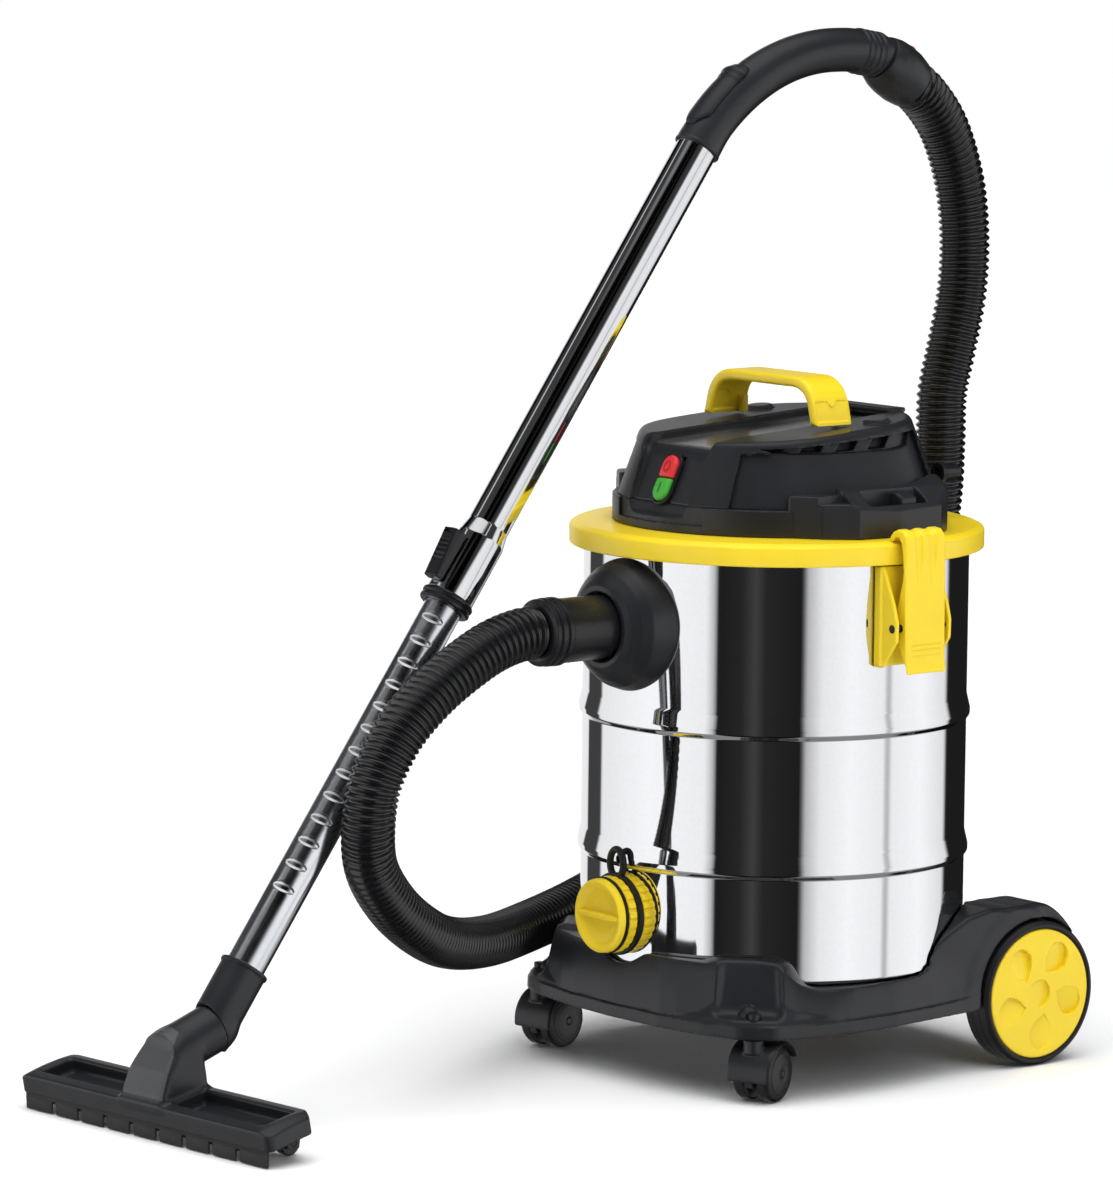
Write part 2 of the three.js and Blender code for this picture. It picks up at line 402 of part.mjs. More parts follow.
// ------------------------------------------------------------------- latches
for (const [side, s] of [["right", 1], ["left", -1]]) {
  const put = (g) => (s > 0 ? g : g.rotateZ(Math.PI));
  const yz = new THREE.Matrix4().makeBasis(new THREE.Vector3(1, 0, 0), new THREE.Vector3(0, 0, 1), new THREE.Vector3(0, -1, 0));
  // lever: hook over the lid ring, long face, thumb tail (drawn in x, z and extruded across)
  const lever = [[169.6, 466.6], [169.6, 471], [173, 475], [179.2, 477.6], [186, 476.8], [190.4, 472.5], [191.8, 464], [191.6, 440], [192.2, 400],
    [193.4, 366], [195.4, 357], [192.6, 356.4], [190.6, 366], [188.6, 400], [186.4, 436], [184.2, 460], [183.2, 466], [180, 470.2], [175.4, 470.6], [172.4, 466.6]];
  const body = combine(prism(lever, 44).applyMatrix4(yz).translate(0, 22, 0), [
    box(10, 3, 34, 187, 20.4, 397), box(10, 3, 34, 187, -20.4, 397)], [
    aim(cyl(2.9, 60, 14), [0, 1, 0]).translate(184.6, 0, 395)]);
  add(`latch_lever_${side}`, put(body), YELLOW, 0.4);
  const bracket = combine(box(6, 62, 76, 168.4, 0, 405), [
    box(22, 3, 36, 177, 26.6, 397), box(22, 3, 36, 177, -26.6, 397)], [tankClear.clone(),
    aim(cyl(2.4, 80, 14), [0, 1, 0]).translate(184.6, 0, 395)]);
  add(`latch_bracket_${side}`, put(bracket), YELLOW, 0.45);
  add(`latch_pin_${side}`, put(combine(aim(cyl(2.25, 58, 14), [0, 1, 0]).translate(184.6, 0, 395), [
    aim(cyl(4, 1.6, 16), [0, 1, 0]).translate(184.6, -29.3, 395)])), DARK, 0.4);
}

// ---------------------------------------------------------------------- hose
const hose = new THREE.CatmullRomCurve3(HOSE_PATH.map((p) => new THREE.Vector3(...p)), false, "centripetal");
add("hose", sweep(hose, HOSE_R, HOSE_BORE, 10, 40), DARK, 0.5);

// -------------------------------------------------------- grip and hose cuff
const P = (y, z) => new THREE.Vector3(WAND_X, y, z);
const along = (a, b) => new THREE.Vector3(0, b[0] - a[0], b[1] - a[1]).normalize();
const cuffDir = along(CUFF_A, CUFF_B), wandDir = along(WAND_FOOT, WAND_TOP);
const atCuff = (g) => aim(g, cuffDir.toArray()).translate(WAND_X, CUFF_A[0], CUFF_A[1]);
const cuffLen = Math.hypot(CUFF_B[0] - CUFF_A[0], CUFF_B[1] - CUFF_A[1]);
const outDir = new THREE.Vector3(0, -cuffDir.z, cuffDir.y);          // up from the cuff's axis
const buttonAt = P(CUFF_A[0], CUFF_A[1]).addScaledVector(cuffDir, 27);
const cuff = combine(atCuff(lathe([[17, 0.3], [21.5, 0.3], [23.5, 6], [25.3, 16], [25.5, 30], [24.2, 38], [23, cuffLen], [20, cuffLen], [17, cuffLen]], 28)), [], [
  aim(cyl(5.4, 17, 16), outDir.toArray()).translate(...buttonAt.clone().addScaledVector(outDir, 28.3).toArray())]);
add("hose_cuff_grip", cuff, BLACK, 0.45);
add("hose_release_button", aim(lathe([[0, 22.3], [4.9, 22.3], [4.9, 26.2], [3.6, 27.2], [0, 27.4]], 16), outDir.toArray())
  .translate(...buttonAt.toArray()), RED, 0.4);

const arc = [];
const a0 = Math.atan2(WAND_TOP[1] - GRIP_ARC_C[1], WAND_TOP[0] - GRIP_ARC_C[0]);
arc.push(P(...WAND_TOP), P(...WAND_TOP).add(along(WAND_FOOT, WAND_TOP).multiplyScalar(6)));
for (let i = 1; i <= 12; i++) {
  const a = a0 + (Math.PI / 2 - a0) * (i / 12);
  arc.push(P(GRIP_ARC_C[0] + GRIP_ARC_R * Math.cos(a), GRIP_ARC_C[1] + GRIP_ARC_R * Math.sin(a)));
}
const A = P(...CUFF_A);
arc.push(P(118, 864), P(135, 861.2), A.clone().addScaledVector(cuffDir, -4), A);
const gripCurve = new THREE.CatmullRomCurve3(arc, false, "centripetal");
const gripTube = sweep(gripCurve, GRIP_R, 15, 14, 18);
const alongWand = (L) => P(WAND_TOP[0], WAND_TOP[1]).addScaledVector(wandDir, -L);      // L down the wand from the grip
const onWand = (g, L = 0) => aim(g, wandDir.clone().negate().toArray()).translate(...alongWand(L).toArray());
add("grip_handle", combine(gripTube, [onWand(lathe([[18.4, -0.1], [20.3, -0.1], [20.3, 24], [18.4, 24]], 28))], []), BLACK, 0.45);
// sliding cover of the air hole, on the outer side of the bend
const capArc = [];
for (let i = 0; i <= 8; i++) {
  const a = a0 + (Math.PI / 2 - a0) * (0.06 + 0.36 * (i / 8));
  capArc.push(P(GRIP_ARC_C[0] + GRIP_ARC_R * Math.cos(a), GRIP_ARC_C[1] + GRIP_ARC_R * Math.sin(a)));
}
const band = new THREE.Shape();
for (let i = 0; i <= 6; i++) { const a = deg(-40 + (80 * i) / 6); i ? band.lineTo(22.6 * Math.cos(a), 22.6 * Math.sin(a)) : band.moveTo(22.6 * Math.cos(a), 22.6 * Math.sin(a)); }
for (let i = 6; i >= 0; i--) { const a = deg(-40 + (80 * i) / 6); band.lineTo(19.6 * Math.cos(a), 19.6 * Math.sin(a)); }
band.closePath();
// the section is placed ring by ring so that it always faces away from the bend's centre
function arcSkin(shape, pts) {
  const outline = shape.getPoints().slice(0, -1).map((v) => [v.x, v.y]), rings = [];
  const place = (c) => { const o = new THREE.Vector3(0, c.y - GRIP_ARC_C[0], c.z - GRIP_ARC_C[1]).normalize();
    return outline.map(([u, v]) => [c.x + v, c.y + u * o.y, c.z + u * o.z]); };
  const faces = THREE.ShapeUtils.triangulateShape(outline.map(([x, y]) => new THREE.Vector2(x, y)), []);
  const n = outline.length, pos = [], idx = [];
  pts.forEach((p) => place(p).forEach((v) => pos.push(...v)));
  for (let k = 0; k + 1 < pts.length; k++) for (let i = 0; i < n; i++) {
    const j = (i + 1) % n, a = k * n + i, b = k * n + j, c = (k + 1) * n + i, d = (k + 1) * n + j;
    idx.push(a, b, d, a, d, c);
  }
  const last = (pts.length - 1) * n;
  for (const [a, b, c] of faces) { idx.push(a, c, b); idx.push(last + a, last + b, last + c); }
  const g = new THREE.BufferGeometry();
  g.setAttribute("position", new THREE.BufferAttribute(new Float32Array(pos), 3));
  g.setIndex(idx);
  return g;
}
add("air_slider", arcSkin(band, capArc), BLACK, 0.5);

// ----------------------------------------------------------- telescopic wand
add("wand_upper_tube", onWand(lathe([[17.1, 0.3], [UPPER_R, 0.3], [UPPER_R, 384], [UPPER_FLARE_R, 396], [UPPER_FLARE_R, 452], [19.6, 452], [19.6, 398], [17.1, 385]], 28)), STEEL, 0.08, 1);
add("wand_end_ring", onWand(lathe([[17.2, 452.3], [22.4, 452.3], [22.4, 456], [21, 457.3], [22.4, 458.6], [22.4, 462], [17.2, 462]], 28)), DARK, 0.45);
add("wand_lower_tube", onWand(lathe([[15.5, 405], [LOWER_R, 405], [LOWER_R, 836], [15.5, 836]], 28)), STEEL, 0.08, 1);
// thumb slider of the wand, on the upper side of its flared end
const n1 = new THREE.Vector3(0, -wandDir.z, wandDir.y);
const sliderGeo = combine(prism([[-9, 21.6], [9, 21.6], [10.5, 25], [8, 33], [-8, 33], [-10.5, 25]], 44), [], [box(40, 12, 16, 0, 37, 40).rotateX(0)]);
const basis = new THREE.Matrix4().makeBasis(new THREE.Vector3(1, 0, 0).negate(), n1, wandDir.clone().negate());
add("wand_release_slider", sliderGeo.applyMatrix4(basis).translate(...alongWand(403).toArray()), DARK, 0.45);

// -------------------------------------------------------------- floor nozzle
const neckDir = new THREE.Vector3(0, ...NECK_DIR).normalize();
const sleeve = onWand(lathe([[16.9, 807.6], [20.6, 807.6], [20.6, 810.6], [19.6, 811.6], [19.8, 862], [16.9, 862]], 26));
const seamAt = P(...SEAM);
const elbow = combine(sleeve, [
  new THREE.SphereGeometry(20.2, 14, 10).translate(...seamAt.clone().addScaledVector(neckDir, 3).toArray())], [
  onWand(cyl(16.9, 60, 26).translate(0, 0, 837)),
  aim(box(80, 80, 60, 0, 0, -29.7), neckDir.toArray()).translate(...seamAt.toArray()),
  aim(cyl(15, 14, 20), neckDir.toArray()).translate(...seamAt.toArray())]);
add("nozzle_elbow", elbow, BLACK, 0.5);

const noz = new THREE.Group();
noz.position.set(NOZ.x, NOZ.y, 0);
noz.rotation.z = deg(NOZ.yaw);
model.add(noz);
noz.updateMatrixWorld(true);
const toNoz = (g) => g.applyMatrix4(noz.matrixWorld.clone().invert());
const L2 = NOZ.len / 2, D2 = NOZ.depth / 2;
// head of the nozzle, tilted so that its back stands higher
const frameShape = ngon([[-L2, -D2], [L2, -D2], [L2 - 3, D2 - 6], [L2 - 14, D2], [-L2 + 14, D2], [-L2 + 3, D2 - 6]]);
const tiltUp = (g) => g.rotateX(deg(NOZ.tilt)).translate(0, 0, 27.6);
const nozzleCuts = [];
for (const s of [1, -1]) nozzleCuts.push(tiltUp(box(108, 28, 16, s * 84, 0, 6)));     // deep pockets in the top
nozzleCuts.push(tiltUp(box(290, 38, 6, 0, 0, -9)));                                  // suction slot underneath
const lugs = [];
for (const s of [1, -1]) for (const k of [1, -1]) {
  lugs.push(box(3, 11, 19, s * 125 + k * 6.1, 22, 16.5));
  nozzleCuts.push(cyl(2.7, 12, 12).rotateY(Math.PI / 2).translate(s * 125 + k * 7, 22, 11));
}
const neck = toNoz(aim(lathe([[13.5, -46], [20.6, -46], [20.6, -0.3], [13.5, -0.3]], 26), neckDir.toArray()).translate(...seamAt.toArray()));
const hump = prism([[-26, 26], [-22, 44], [-6, 76], [2, 84], [14, 84], [22, 60], [22, 34], [10, 26]], 46)
  .applyMatrix4(new THREE.Matrix4().makeBasis(new THREE.Vector3(0, 1, 0), new THREE.Vector3(0, 0, 1), new THREE.Vector3(1, 0, 0))).translate(-23, 0, 0);
const body = combine(tiltUp(new THREE.ExtrudeGeometry(frameShape, { depth: NOZ.high, bevelEnabled: false }).translate(0, 0, -NOZ.high / 2)), [hump, neck, ...lugs], [
  ...nozzleCuts, toNoz(aim(cyl(13.5, 44, 26), neckDir.toArray()).translate(...seamAt.clone().addScaledVector(neckDir, -20).toArray()))]);
add("nozzle_body", body, BLACK, 0.5, 0, noz);
const teeth = [];
for (let i = 0; i < 8; i++) teeth.push(box(7, 10, 8, -L2 + 16 + 31.4 * (i + 1) - 3, -14, 4));
add("nozzle_strip", combine(box(286, 3.2, 18.2, 0, -14, 9.1), [], teeth), DARK, 0.8, 0, noz);
for (const [n, s] of [["left", -1], ["right", 1]])
  add(`nozzle_wheel_${n}`, lathe([[0, -7.4], [2.3, -7.4], [2.3, -4], [9.6, -4], [11, -2.6], [11, 2.6], [9.6, 4], [2.3, 4], [2.3, 7.4], [0, 7.4]], 24)
    .rotateY(Math.PI / 2).translate(s * 125, 22, 11), DARK, 0.6, 0, noz);

// ------------------------------------------------- origin at the footprint's centre
const bounds = new THREE.Box3();
model.updateMatrixWorld(true);
model.traverse((o) => {
  if (!o.isMesh || ["hose", "hose_cuff_inlet", "hose_cuff_grip"].includes(o.name)) return;
  bounds.union(new THREE.Box3().setFromObject(o, true));
});
const part = new THREE.Group();
model.position.set(-(bounds.min.x + bounds.max.x) / 2, -(bounds.min.y + bounds.max.y) / 2, -bounds.min.z);
part.add(model);
part.updateMatrixWorld(true);

export default part;
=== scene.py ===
import bpy, json, math
import numpy as np
from mathutils import Matrix, Vector

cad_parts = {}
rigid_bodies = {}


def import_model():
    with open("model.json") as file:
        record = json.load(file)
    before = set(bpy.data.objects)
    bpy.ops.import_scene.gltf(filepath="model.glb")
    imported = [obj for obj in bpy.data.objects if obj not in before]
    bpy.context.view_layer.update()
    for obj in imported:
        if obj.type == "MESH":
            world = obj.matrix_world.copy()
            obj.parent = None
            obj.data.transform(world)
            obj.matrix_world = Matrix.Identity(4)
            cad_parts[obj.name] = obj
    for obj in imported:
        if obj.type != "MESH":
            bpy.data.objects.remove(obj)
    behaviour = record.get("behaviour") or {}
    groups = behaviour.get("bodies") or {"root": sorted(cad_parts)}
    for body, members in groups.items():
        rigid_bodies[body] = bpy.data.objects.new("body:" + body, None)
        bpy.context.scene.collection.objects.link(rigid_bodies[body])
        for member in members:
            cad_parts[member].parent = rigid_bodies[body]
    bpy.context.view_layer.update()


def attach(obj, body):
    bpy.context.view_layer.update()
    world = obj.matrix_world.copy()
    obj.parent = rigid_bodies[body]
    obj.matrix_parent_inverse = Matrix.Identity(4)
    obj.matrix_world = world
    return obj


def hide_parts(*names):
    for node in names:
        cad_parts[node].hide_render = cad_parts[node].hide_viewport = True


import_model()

# Everything below is laid out in millimetres around the tank's axis at the floor
# (+X right, -Y front, +Z up) and moved into the frame by OFF.
OFF = np.array([4.1967, 205.9364, 0.0])
rad = math.radians


def F(p):
    """millimetres around the tank's axis -> metres in the frame"""
    return (np.asarray(p, float) + OFF) / 1000.0


# ------------------------------------------------------------------ camera
cam_data = bpy.data.cameras.new("camera")
cam = bpy.data.objects.new("camera", cam_data)
bpy.context.scene.collection.objects.link(cam)
AZ, YAW, PITCH, ROLL = rad(49.245), rad(2.053), rad(7.347), rad(0.561)
c_ = np.array([math.sin(AZ), -math.cos(AZ), 0.0]); r_ = np.array([math.cos(AZ), math.sin(AZ), 0.0]); up_ = np.array([0, 0, 1.0])
h_ = -c_ * math.cos(YAW) - r_ * math.sin(YAW)
rr_ = r_ * math.cos(YAW) - c_ * math.sin(YAW)
fwd_ = h_ * math.cos(PITCH) - up_ * math.sin(PITCH)
u2_ = up_ * math.cos(PITCH) + h_ * math.sin(PITCH)
cr_ = math.cos(ROLL) * rr_ + math.sin(ROLL) * u2_
cu_ = math.cos(ROLL) * u2_ - math.sin(ROLL) * rr_
m = Matrix(((cr_[0], cu_[0], -fwd_[0], 0), (cr_[1], cu_[1], -fwd_[1], 0), (cr_[2], cu_[2], -fwd_[2], 0), (0, 0, 0, 1)))
m.translation = Vector(F([3971.3, -3422.5, 1071.3]))
cam.matrix_world = m
cam_data.sensor_width = 36.0
cam_data.lens = 184.8
cam_data.clip_start = 0.05
cam_data.clip_end = 60
bpy.context.scene.camera = cam


# --------------------------------------------------------------- materials
def new_mat(name):
    mt = bpy.data.materials.new(name)
    mt.use_nodes = True
    nt = mt.node_tree
    return mt, nt, nt.nodes["Principled BSDF"]


def noise(nt, scale, detail=4.0, rough=0.5, vec=None):
    n = nt.nodes.new("ShaderNodeTexNoise")
    n.inputs["Scale"].default_value = scale
    n.inputs["Detail"].default_value = detail
    n.inputs["Roughness"].default_value = rough
    if vec is not None:
        nt.links.new(vec, n.inputs["Vector"])
    return n


def ramp(nt, src, stops):
    r = nt.nodes.new("ShaderNodeValToRGB")
    el = r.color_ramp.elements
    while len(el) < len(stops):
        el.new(0.5)
    for e, (p, c) in zip(el, stops):
        e.position = p
        e.color = c if len(c) == 4 else (*c, 1)
    nt.links.new(src, r.inputs["Fac"])
    return r


def plastic(name, colour, rough, vary=0.12, grain=900.0, bump=0.12, spec=0.5, coat=0.0, dist=0.00008, mottled=30.0):
    mt, nt, b = new_mat(name)
    tc = nt.nodes.new("ShaderNodeTexCoord")
    big = noise(nt, mottled, 5, 0.55, tc.outputs["Object"])
    lo = [max(0, c * (1 - vary)) for c in colour]
    hi = [min(1, c * (1 + vary)) for c in colour]
    cr = ramp(nt, big.outputs["Fac"], [(0.3, lo), (0.7, hi)])
    nt.links.new(cr.outputs["Color"], b.inputs["Base Color"])
    fine = noise(nt, grain, 2, 0.6, tc.outputs["Object"])
    rr = ramp(nt, fine.outputs["Fac"], [(0.3, (rough * 0.88,) * 3), (0.7, (rough * 1.14,) * 3)])
    nt.links.new(rr.outputs["Color"], b.inputs["Roughness"])
    bp = nt.nodes.new("ShaderNodeBump")
    bp.inputs["Strength"].default_value = bump
    bp.inputs["Distance"].default_value = dist
    nt.links.new(fine.outputs["Fac"], bp.inputs["Height"])
    nt.links.new(bp.outputs["Normal"], b.inputs["Normal"])
    b.inputs["Specular IOR Level"].default_value = spec
    b.inputs["Coat Weight"].default_value = coat
    b.inputs["Coat Roughness"].default_value = 0.25
    return mt


def steel(name, colour=(0.80, 0.81, 0.83), rough=0.05, smear=(1.0, 1.0, 1.0), bump=0.02):
    mt, nt, b = new_mat(name)
    tc = nt.nodes.new("ShaderNodeTexCoord")
    mp = nt.nodes.new("ShaderNodeMapping")
    mp.inputs["Scale"].default_value = smear
    nt.links.new(tc.outputs["Object"], mp.inputs["Vector"])
    n = noise(nt, 14, 3, 0.5, mp.outputs["Vector"])
    r = ramp(nt, n.outputs["Fac"], [(0.3, (rough * 0.7,) * 3), (0.75, (rough * 1.5,) * 3)])
    nt.links.new(r.outputs["Color"], b.inputs["Roughness"])
    fine = noise(nt, 260, 2, 0.5, mp.outputs["Vector"])
    cr = ramp(nt, fine.outputs["Fac"], [(0.2, [c * 0.96 for c in colour]), (0.8, colour)])
    nt.links.new(cr.outputs["Color"], b.inputs["Base Color"])
    bp = nt.nodes.new("ShaderNodeBump")
    bp.inputs["Strength"].default_value = bump
    bp.inputs["Distance"].default_value = 0.0006
    nt.links.new(n.outputs["Fac"], bp.inputs["Height"])
    nt.links.new(bp.outputs["Normal"], b.inputs["Normal"])
    b.inputs["Metallic"].default_value = 1.0
    return mt


M_BLACK = plastic("black_plastic_satin", (0.0138, 0.0146, 0.0172), 0.36, vary=0.12, grain=1500, bump=0.15)
M_BLACK2 = plastic("black_plastic_smooth", (0.0075, 0.0078, 0.009), 0.30, vary=0.12, grain=900, bump=0.10)
# grey plastic of the sunken top plate: its own grey, with the base colour lightened to paint in the backdrop's
# reflection (painted sheen)
M_PANEL_GREY_PAINTED_SHEEN = plastic("top_panel_grey_painted_sheen", (0.055, 0.055, 0.056), 0.25, vary=0.10, grain=1500, bump=0.2)
M_HOSE = plastic("hose_plastic", (0.0065, 0.0068, 0.0078), 0.22, vary=0.15, grain=260, bump=0.0, spec=0.8)
M_RUBBER = plastic("black_rubber", (0.0085, 0.0085, 0.0095), 0.5, vary=0.2, grain=1100, bump=0.35)
M_WHEEL = plastic("caster_plastic", (0.008, 0.0083, 0.0093), 0.40, vary=0.15, grain=1300, bump=0.2)
M_YELLOW = plastic("yellow_plastic", (0.83, 0.61, 0.018), 0.34, vary=0.035, grain=1200, bump=0.10, mottled=18)
M_SHIELD = plastic("nozzle_shield_plastic", (0.052, 0.053, 0.056), 0.42, vary=0.10, grain=1500, bump=0.2)
M_RED = plastic("red_plastic", (0.62, 0.030, 0.034), 0.30, vary=0.05, grain=900, bump=0.08)
M_GREEN = plastic("green_plastic", (0.055, 0.36, 0.040), 0.30, vary=0.05, grain=900, bump=0.08)
M_MARK_R = plastic("button_mark_red", (0.32, 0.010, 0.014), 0.4, vary=0.05)
M_MARK_G = plastic("button_mark_green", (0.018, 0.15, 0.018), 0.4, vary=0.05)
M_STEEL = steel("stainless_tank", (0.93, 0.935, 0.95), 0.035, (1, 1, 1), 0.006)
M_CHROME = steel("polished_tube", (0.80, 0.81, 0.83), 0.05, (1, 1, 1), 0.01)
M_TUBE2 = steel("polished_lower_tube", (0.84, 0.86, 0.90), 0.20, (1, 1, 1), 0.01)
M_DIMPLE = steel("pressed_dimple", (0.93, 0.93, 0.94), 0.42, (1, 1, 1), 0.02)
M_ZINC = steel("zinc_steel", (0.55, 0.56, 0.58), 0.28, (6, 1, 1), 0.05)
M_MOTOR = steel("motor_metal", (0.42, 0.43, 0.45), 0.35, (1, 1, 4), 0.08)
M_PAPER = plastic("filter_paper", (0.72, 0.70, 0.64), 0.85, vary=0.1, grain=500, bump=0.5)
M_FLOAT = plastic("float_plastic", (0.75, 0.75, 0.72), 0.5, vary=0.04)


# ---------------------------------------------------------------- mesh tools
def build(name, P, faces, mat, body=None, cad=(), angle=35.0, smooth=True):
    """P in millimetres around the tank's axis; faces as an (n, 4) or (n, 3) array or a list"""
    P = F(P)
    me = bpy.data.meshes.new(name)
    if isinstance(faces, np.ndarray):
        k = faces.shape[1]
        me.vertices.add(len(P)); me.vertices.foreach_set("co", P.astype(np.float32).ravel())
        me.loops.add(faces.size); me.loops.foreach_set("vertex_index", faces.astype(np.int32).ravel())
        me.polygons.add(len(faces))
        me.polygons.foreach_set("loop_start", np.arange(0, faces.size, k, dtype=np.int32))
        me.update(calc_edges=True)
    else:
        me.from_pydata([tuple(p) for p in P], [], [tuple(int(i) for i in f) for f in faces])
    me.validate()
    if smooth:
        me.polygons.foreach_set("use_smooth", np.ones(len(me.polygons), bool))
        if angle:
            me.set_sharp_from_angle(angle=rad(angle))
    ob = bpy.data.objects.new(name, me)
    bpy.context.scene.collection.objects.link(ob)
    me.materials.append(mat)
    if body:
        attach(ob, body)
        if cad:
            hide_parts(*([cad] if isinstance(cad, str) else cad))
    return ob


def frame_of(axis, origin=(0, 0, 0), ref=None):
    """4x4 that turns +Z into axis and moves to origin; ref gives where local +X should point"""
    a = np.array(axis, float); a /= np.linalg.norm(a)
    ref = np.array(ref if ref is not None else ((1, 0, 0) if abs(a[0]) < 0.9 else (0, 1, 0)), float)
    x = ref - a * (ref @ a); x /= np.linalg.norm(x)
    y = np.cross(a, x)
    M = np.eye(4); M[:3, 0] = x; M[:3, 1] = y; M[:3, 2] = a; M[:3, 3] = origin
    return M


def put(M, P):
    P = np.asarray(P, float)
    return P @ M[:3, :3].T + M[:3, 3]


def fillet(pts, default=0.0, n=5, closed=True):
    """2-D outline of (u, v[, radius]) with its corners rounded"""
    out = []
    N = len(pts)
    for i, p in enumerate(pts):
        r = p[2] if len(p) > 2 else default
        p0 = np.array(p[:2], float)
        if (not closed and i in (0, N - 1)) or r <= 0:
            out.append(p0); continue
        a = np.array(pts[i - 1][:2], float) - p0; b = np.array(pts[(i + 1) % N][:2], float) - p0
        la, lb = np.linalg.norm(a), np.linalg.norm(b)
        if la < 1e-9 or lb < 1e-9:
            out.append(p0); continue
        a /= la; b /= lb
        ang = math.acos(max(-1, min(1, float(a @ b))))
        if ang > 3.1:
            out.append(p0); continue
        t = min(r / math.tan(ang / 2), la * 0.48, lb * 0.48)
        rr = t * math.tan(ang / 2)
        mid = (a + b); mid /= np.linalg.norm(mid)
        cen = p0 + mid * (rr / math.sin(ang / 2))
        s, e = p0 + a * t - cen, p0 + b * t - cen
        for k in range(n + 1):
            q = s * (1 - k / n) + e * (k / n)
            out.append(cen + q / np.linalg.norm(q) * rr)
    return out


def lathe(pts, seg=96, closed=True):
    """solid of revolution about +Z from (r, z) points; returns P, faces"""
    pts = np.array([p[:2] for p in pts], float)
    th = np.arange(seg) * 2 * math.pi / seg
    rings, P, n = [], [], 0
    for r, z in pts:
        if abs(r) < 1e-6:
            P.append(np.array([[0, 0, z]])); rings.append(np.full(seg, n)); n += 1
        else:
            P.append(np.stack([r * np.cos(th), r * np.sin(th), np.full(seg, z)], 1)); rings.append(np.arange(n, n + seg)); n += seg
    faces = []
    K = len(rings)
    last = K if closed else K - 1
    for k in range(last):
        A, B = rings[k], rings[(k + 1) % K]
        one_a, one_b = A[0] == A[1], B[0] == B[1]
        if one_a and one_b:
            continue
        for i in range(seg):
            j = (i + 1) % seg
            if one_a: faces.append((A[0], B[j], B[i]))
            elif one_b: faces.append((A[i], A[j], B[0]))
            else: faces.append((A[i], A[j], B[j], B[i]))
    P = np.concatenate(P)
    # outward: sign by the outline's area
    area = 0.5 * np.sum(pts[:, 0] * np.roll(pts[:, 1], -1) - np.roll(pts[:, 0], -1) * pts[:, 1])
    if area < 0:
        faces = [f[::-1] for f in faces]
    return P, faces


def turned(name, pts, M, mat, body, cad=(), seg=96, angle=35, r=0.0, n=4):
    P, f = lathe(fillet(pts, r, n), seg)
    return build(name, put(M, P), f, mat, body, cad, angle)


def prism(outline, z0, z1, bevel=0.0, n=3):
    """closed prism of a 2-D outline along local z with rounded rims"""
    o = np.array([p[:2] for p in outline], float)
    area = 0.5 * np.sum(o[:, 0] * np.roll(o[:, 1], -1) - np.roll(o[:, 0], -1) * o[:, 1])
    if area < 0:
        o = o[::-1]
    N = len(o)
    e = np.roll(o, -1, 0) - o
    e /= np.maximum(np.linalg.norm(e, axis=1, keepdims=True), 1e-9)
    nrm = np.stack([e[:, 1], -e[:, 0]], 1)
    vn = nrm + np.roll(nrm, 1, 0); vn /= np.maximum(np.linalg.norm(vn, axis=1, keepdims=True), 1e-9)
    rings = []
    steps = [(bevel * (1 - math.sin(a)), bevel * (1 - math.cos(a))) for a in np.linspace(0, math.pi / 2, n + 1)] if bevel else [(0, 0)]
    for ins, dz in steps:
        rings.append(np.c_[o - vn * ins, np.full(N, z0 + dz)])
    rings = [np.c_[o - vn * (bevel * (1 - math.sin(a))), np.full(N, z0 + bevel * (1 - math.cos(a)))] for a in np.linspace(0, math.pi / 2, n + 1)] if bevel else [np.c_[o, np.full(N, z0)]]
    top = [np.c_[o - vn * (bevel * (1 - math.cos(a))), np.full(N, z1 - bevel * (1 - math.sin(a)))] for a in np.linspace(0, math.pi / 2, n + 1)] if bevel else [np.c_[o, np.full(N, z1)]]
    rings += top
    P = np.concatenate(rings)
    faces = [tuple(range(N))[::-1]]
    for k in range(len(rings) - 1):
        for i in range(N):
            j = (i + 1) % N
            faces.append((k * N + i, k * N + j, (k + 1) * N + j, (k + 1) * N + i))
    faces.append(tuple(range((len(rings) - 1) * N, len(rings) * N)))
    return P, faces


def join(parts):
    """several (P, faces) as one"""
    Ps, fs, n = [], [], 0
    for P, f in parts:
        Ps.append(np.asarray(P, float)); fs += [tuple(i + n for i in q) for q in f]; n += len(P)
    return np.concatenate(Ps), fs


# --- signed distance modelling -----------------------------------------------
mx, mn = np.maximum, np.minimum


def smin(a, b, k):
    h = np.clip(0.5 + 0.5 * (b - a) / k, 0, 1)
    return b * (1 - h) + a * h - k * h * (1 - h)


def smax(a, b, k):
    return -smin(-a, -b, k)


def cut(a, b, k=1.5):
    return smax(a, -b, k)


def rbox(x, y, z, c, b, r=0.0):
    qx, qy, qz = abs(x - c[0]) - (b[0] - r), abs(y - c[1]) - (b[1] - r), abs(z - c[2]) - (b[2] - r)
    out = np.sqrt(mx(qx, 0) ** 2 + mx(qy, 0) ** 2 + mx(qz, 0) ** 2)
    return out + mn(mx(qx, mx(qy, qz)), 0) - r


def disc(u, v, w, r, half, k=0.0):
    """cylinder of radius r along w"""
    a, b = np.sqrt(u * u + v * v) - r, abs(w) - half
    return mx(a, b) if k == 0 else smax(a, b, k)


def poly(u, v, pts):
    """signed distance of a closed 2-D outline"""
    pts = [np.array(p[:2], float) for p in pts]
    d, s = None, 1.0
    n = len(pts)
    for i in range(n):
        a, b = pts[i], pts[i - 1]
        ex, ey = b - a
        wx, wy = u - a[0], v - a[1]
        t = np.clip((wx * ex + wy * ey) / (ex * ex + ey * ey), 0, 1)
        q = (wx - ex * t) ** 2 + (wy - ey * t) ** 2
        d = q if d is None else mn(d, q)
        c1, c2, c3 = v >= a[1], v < b[1], ex * wy > ey * wx
        s = np.where((c1 & c2 & c3) | (~c1 & ~c2 & ~c3), -s, s)
    return s * np.sqrt(d)


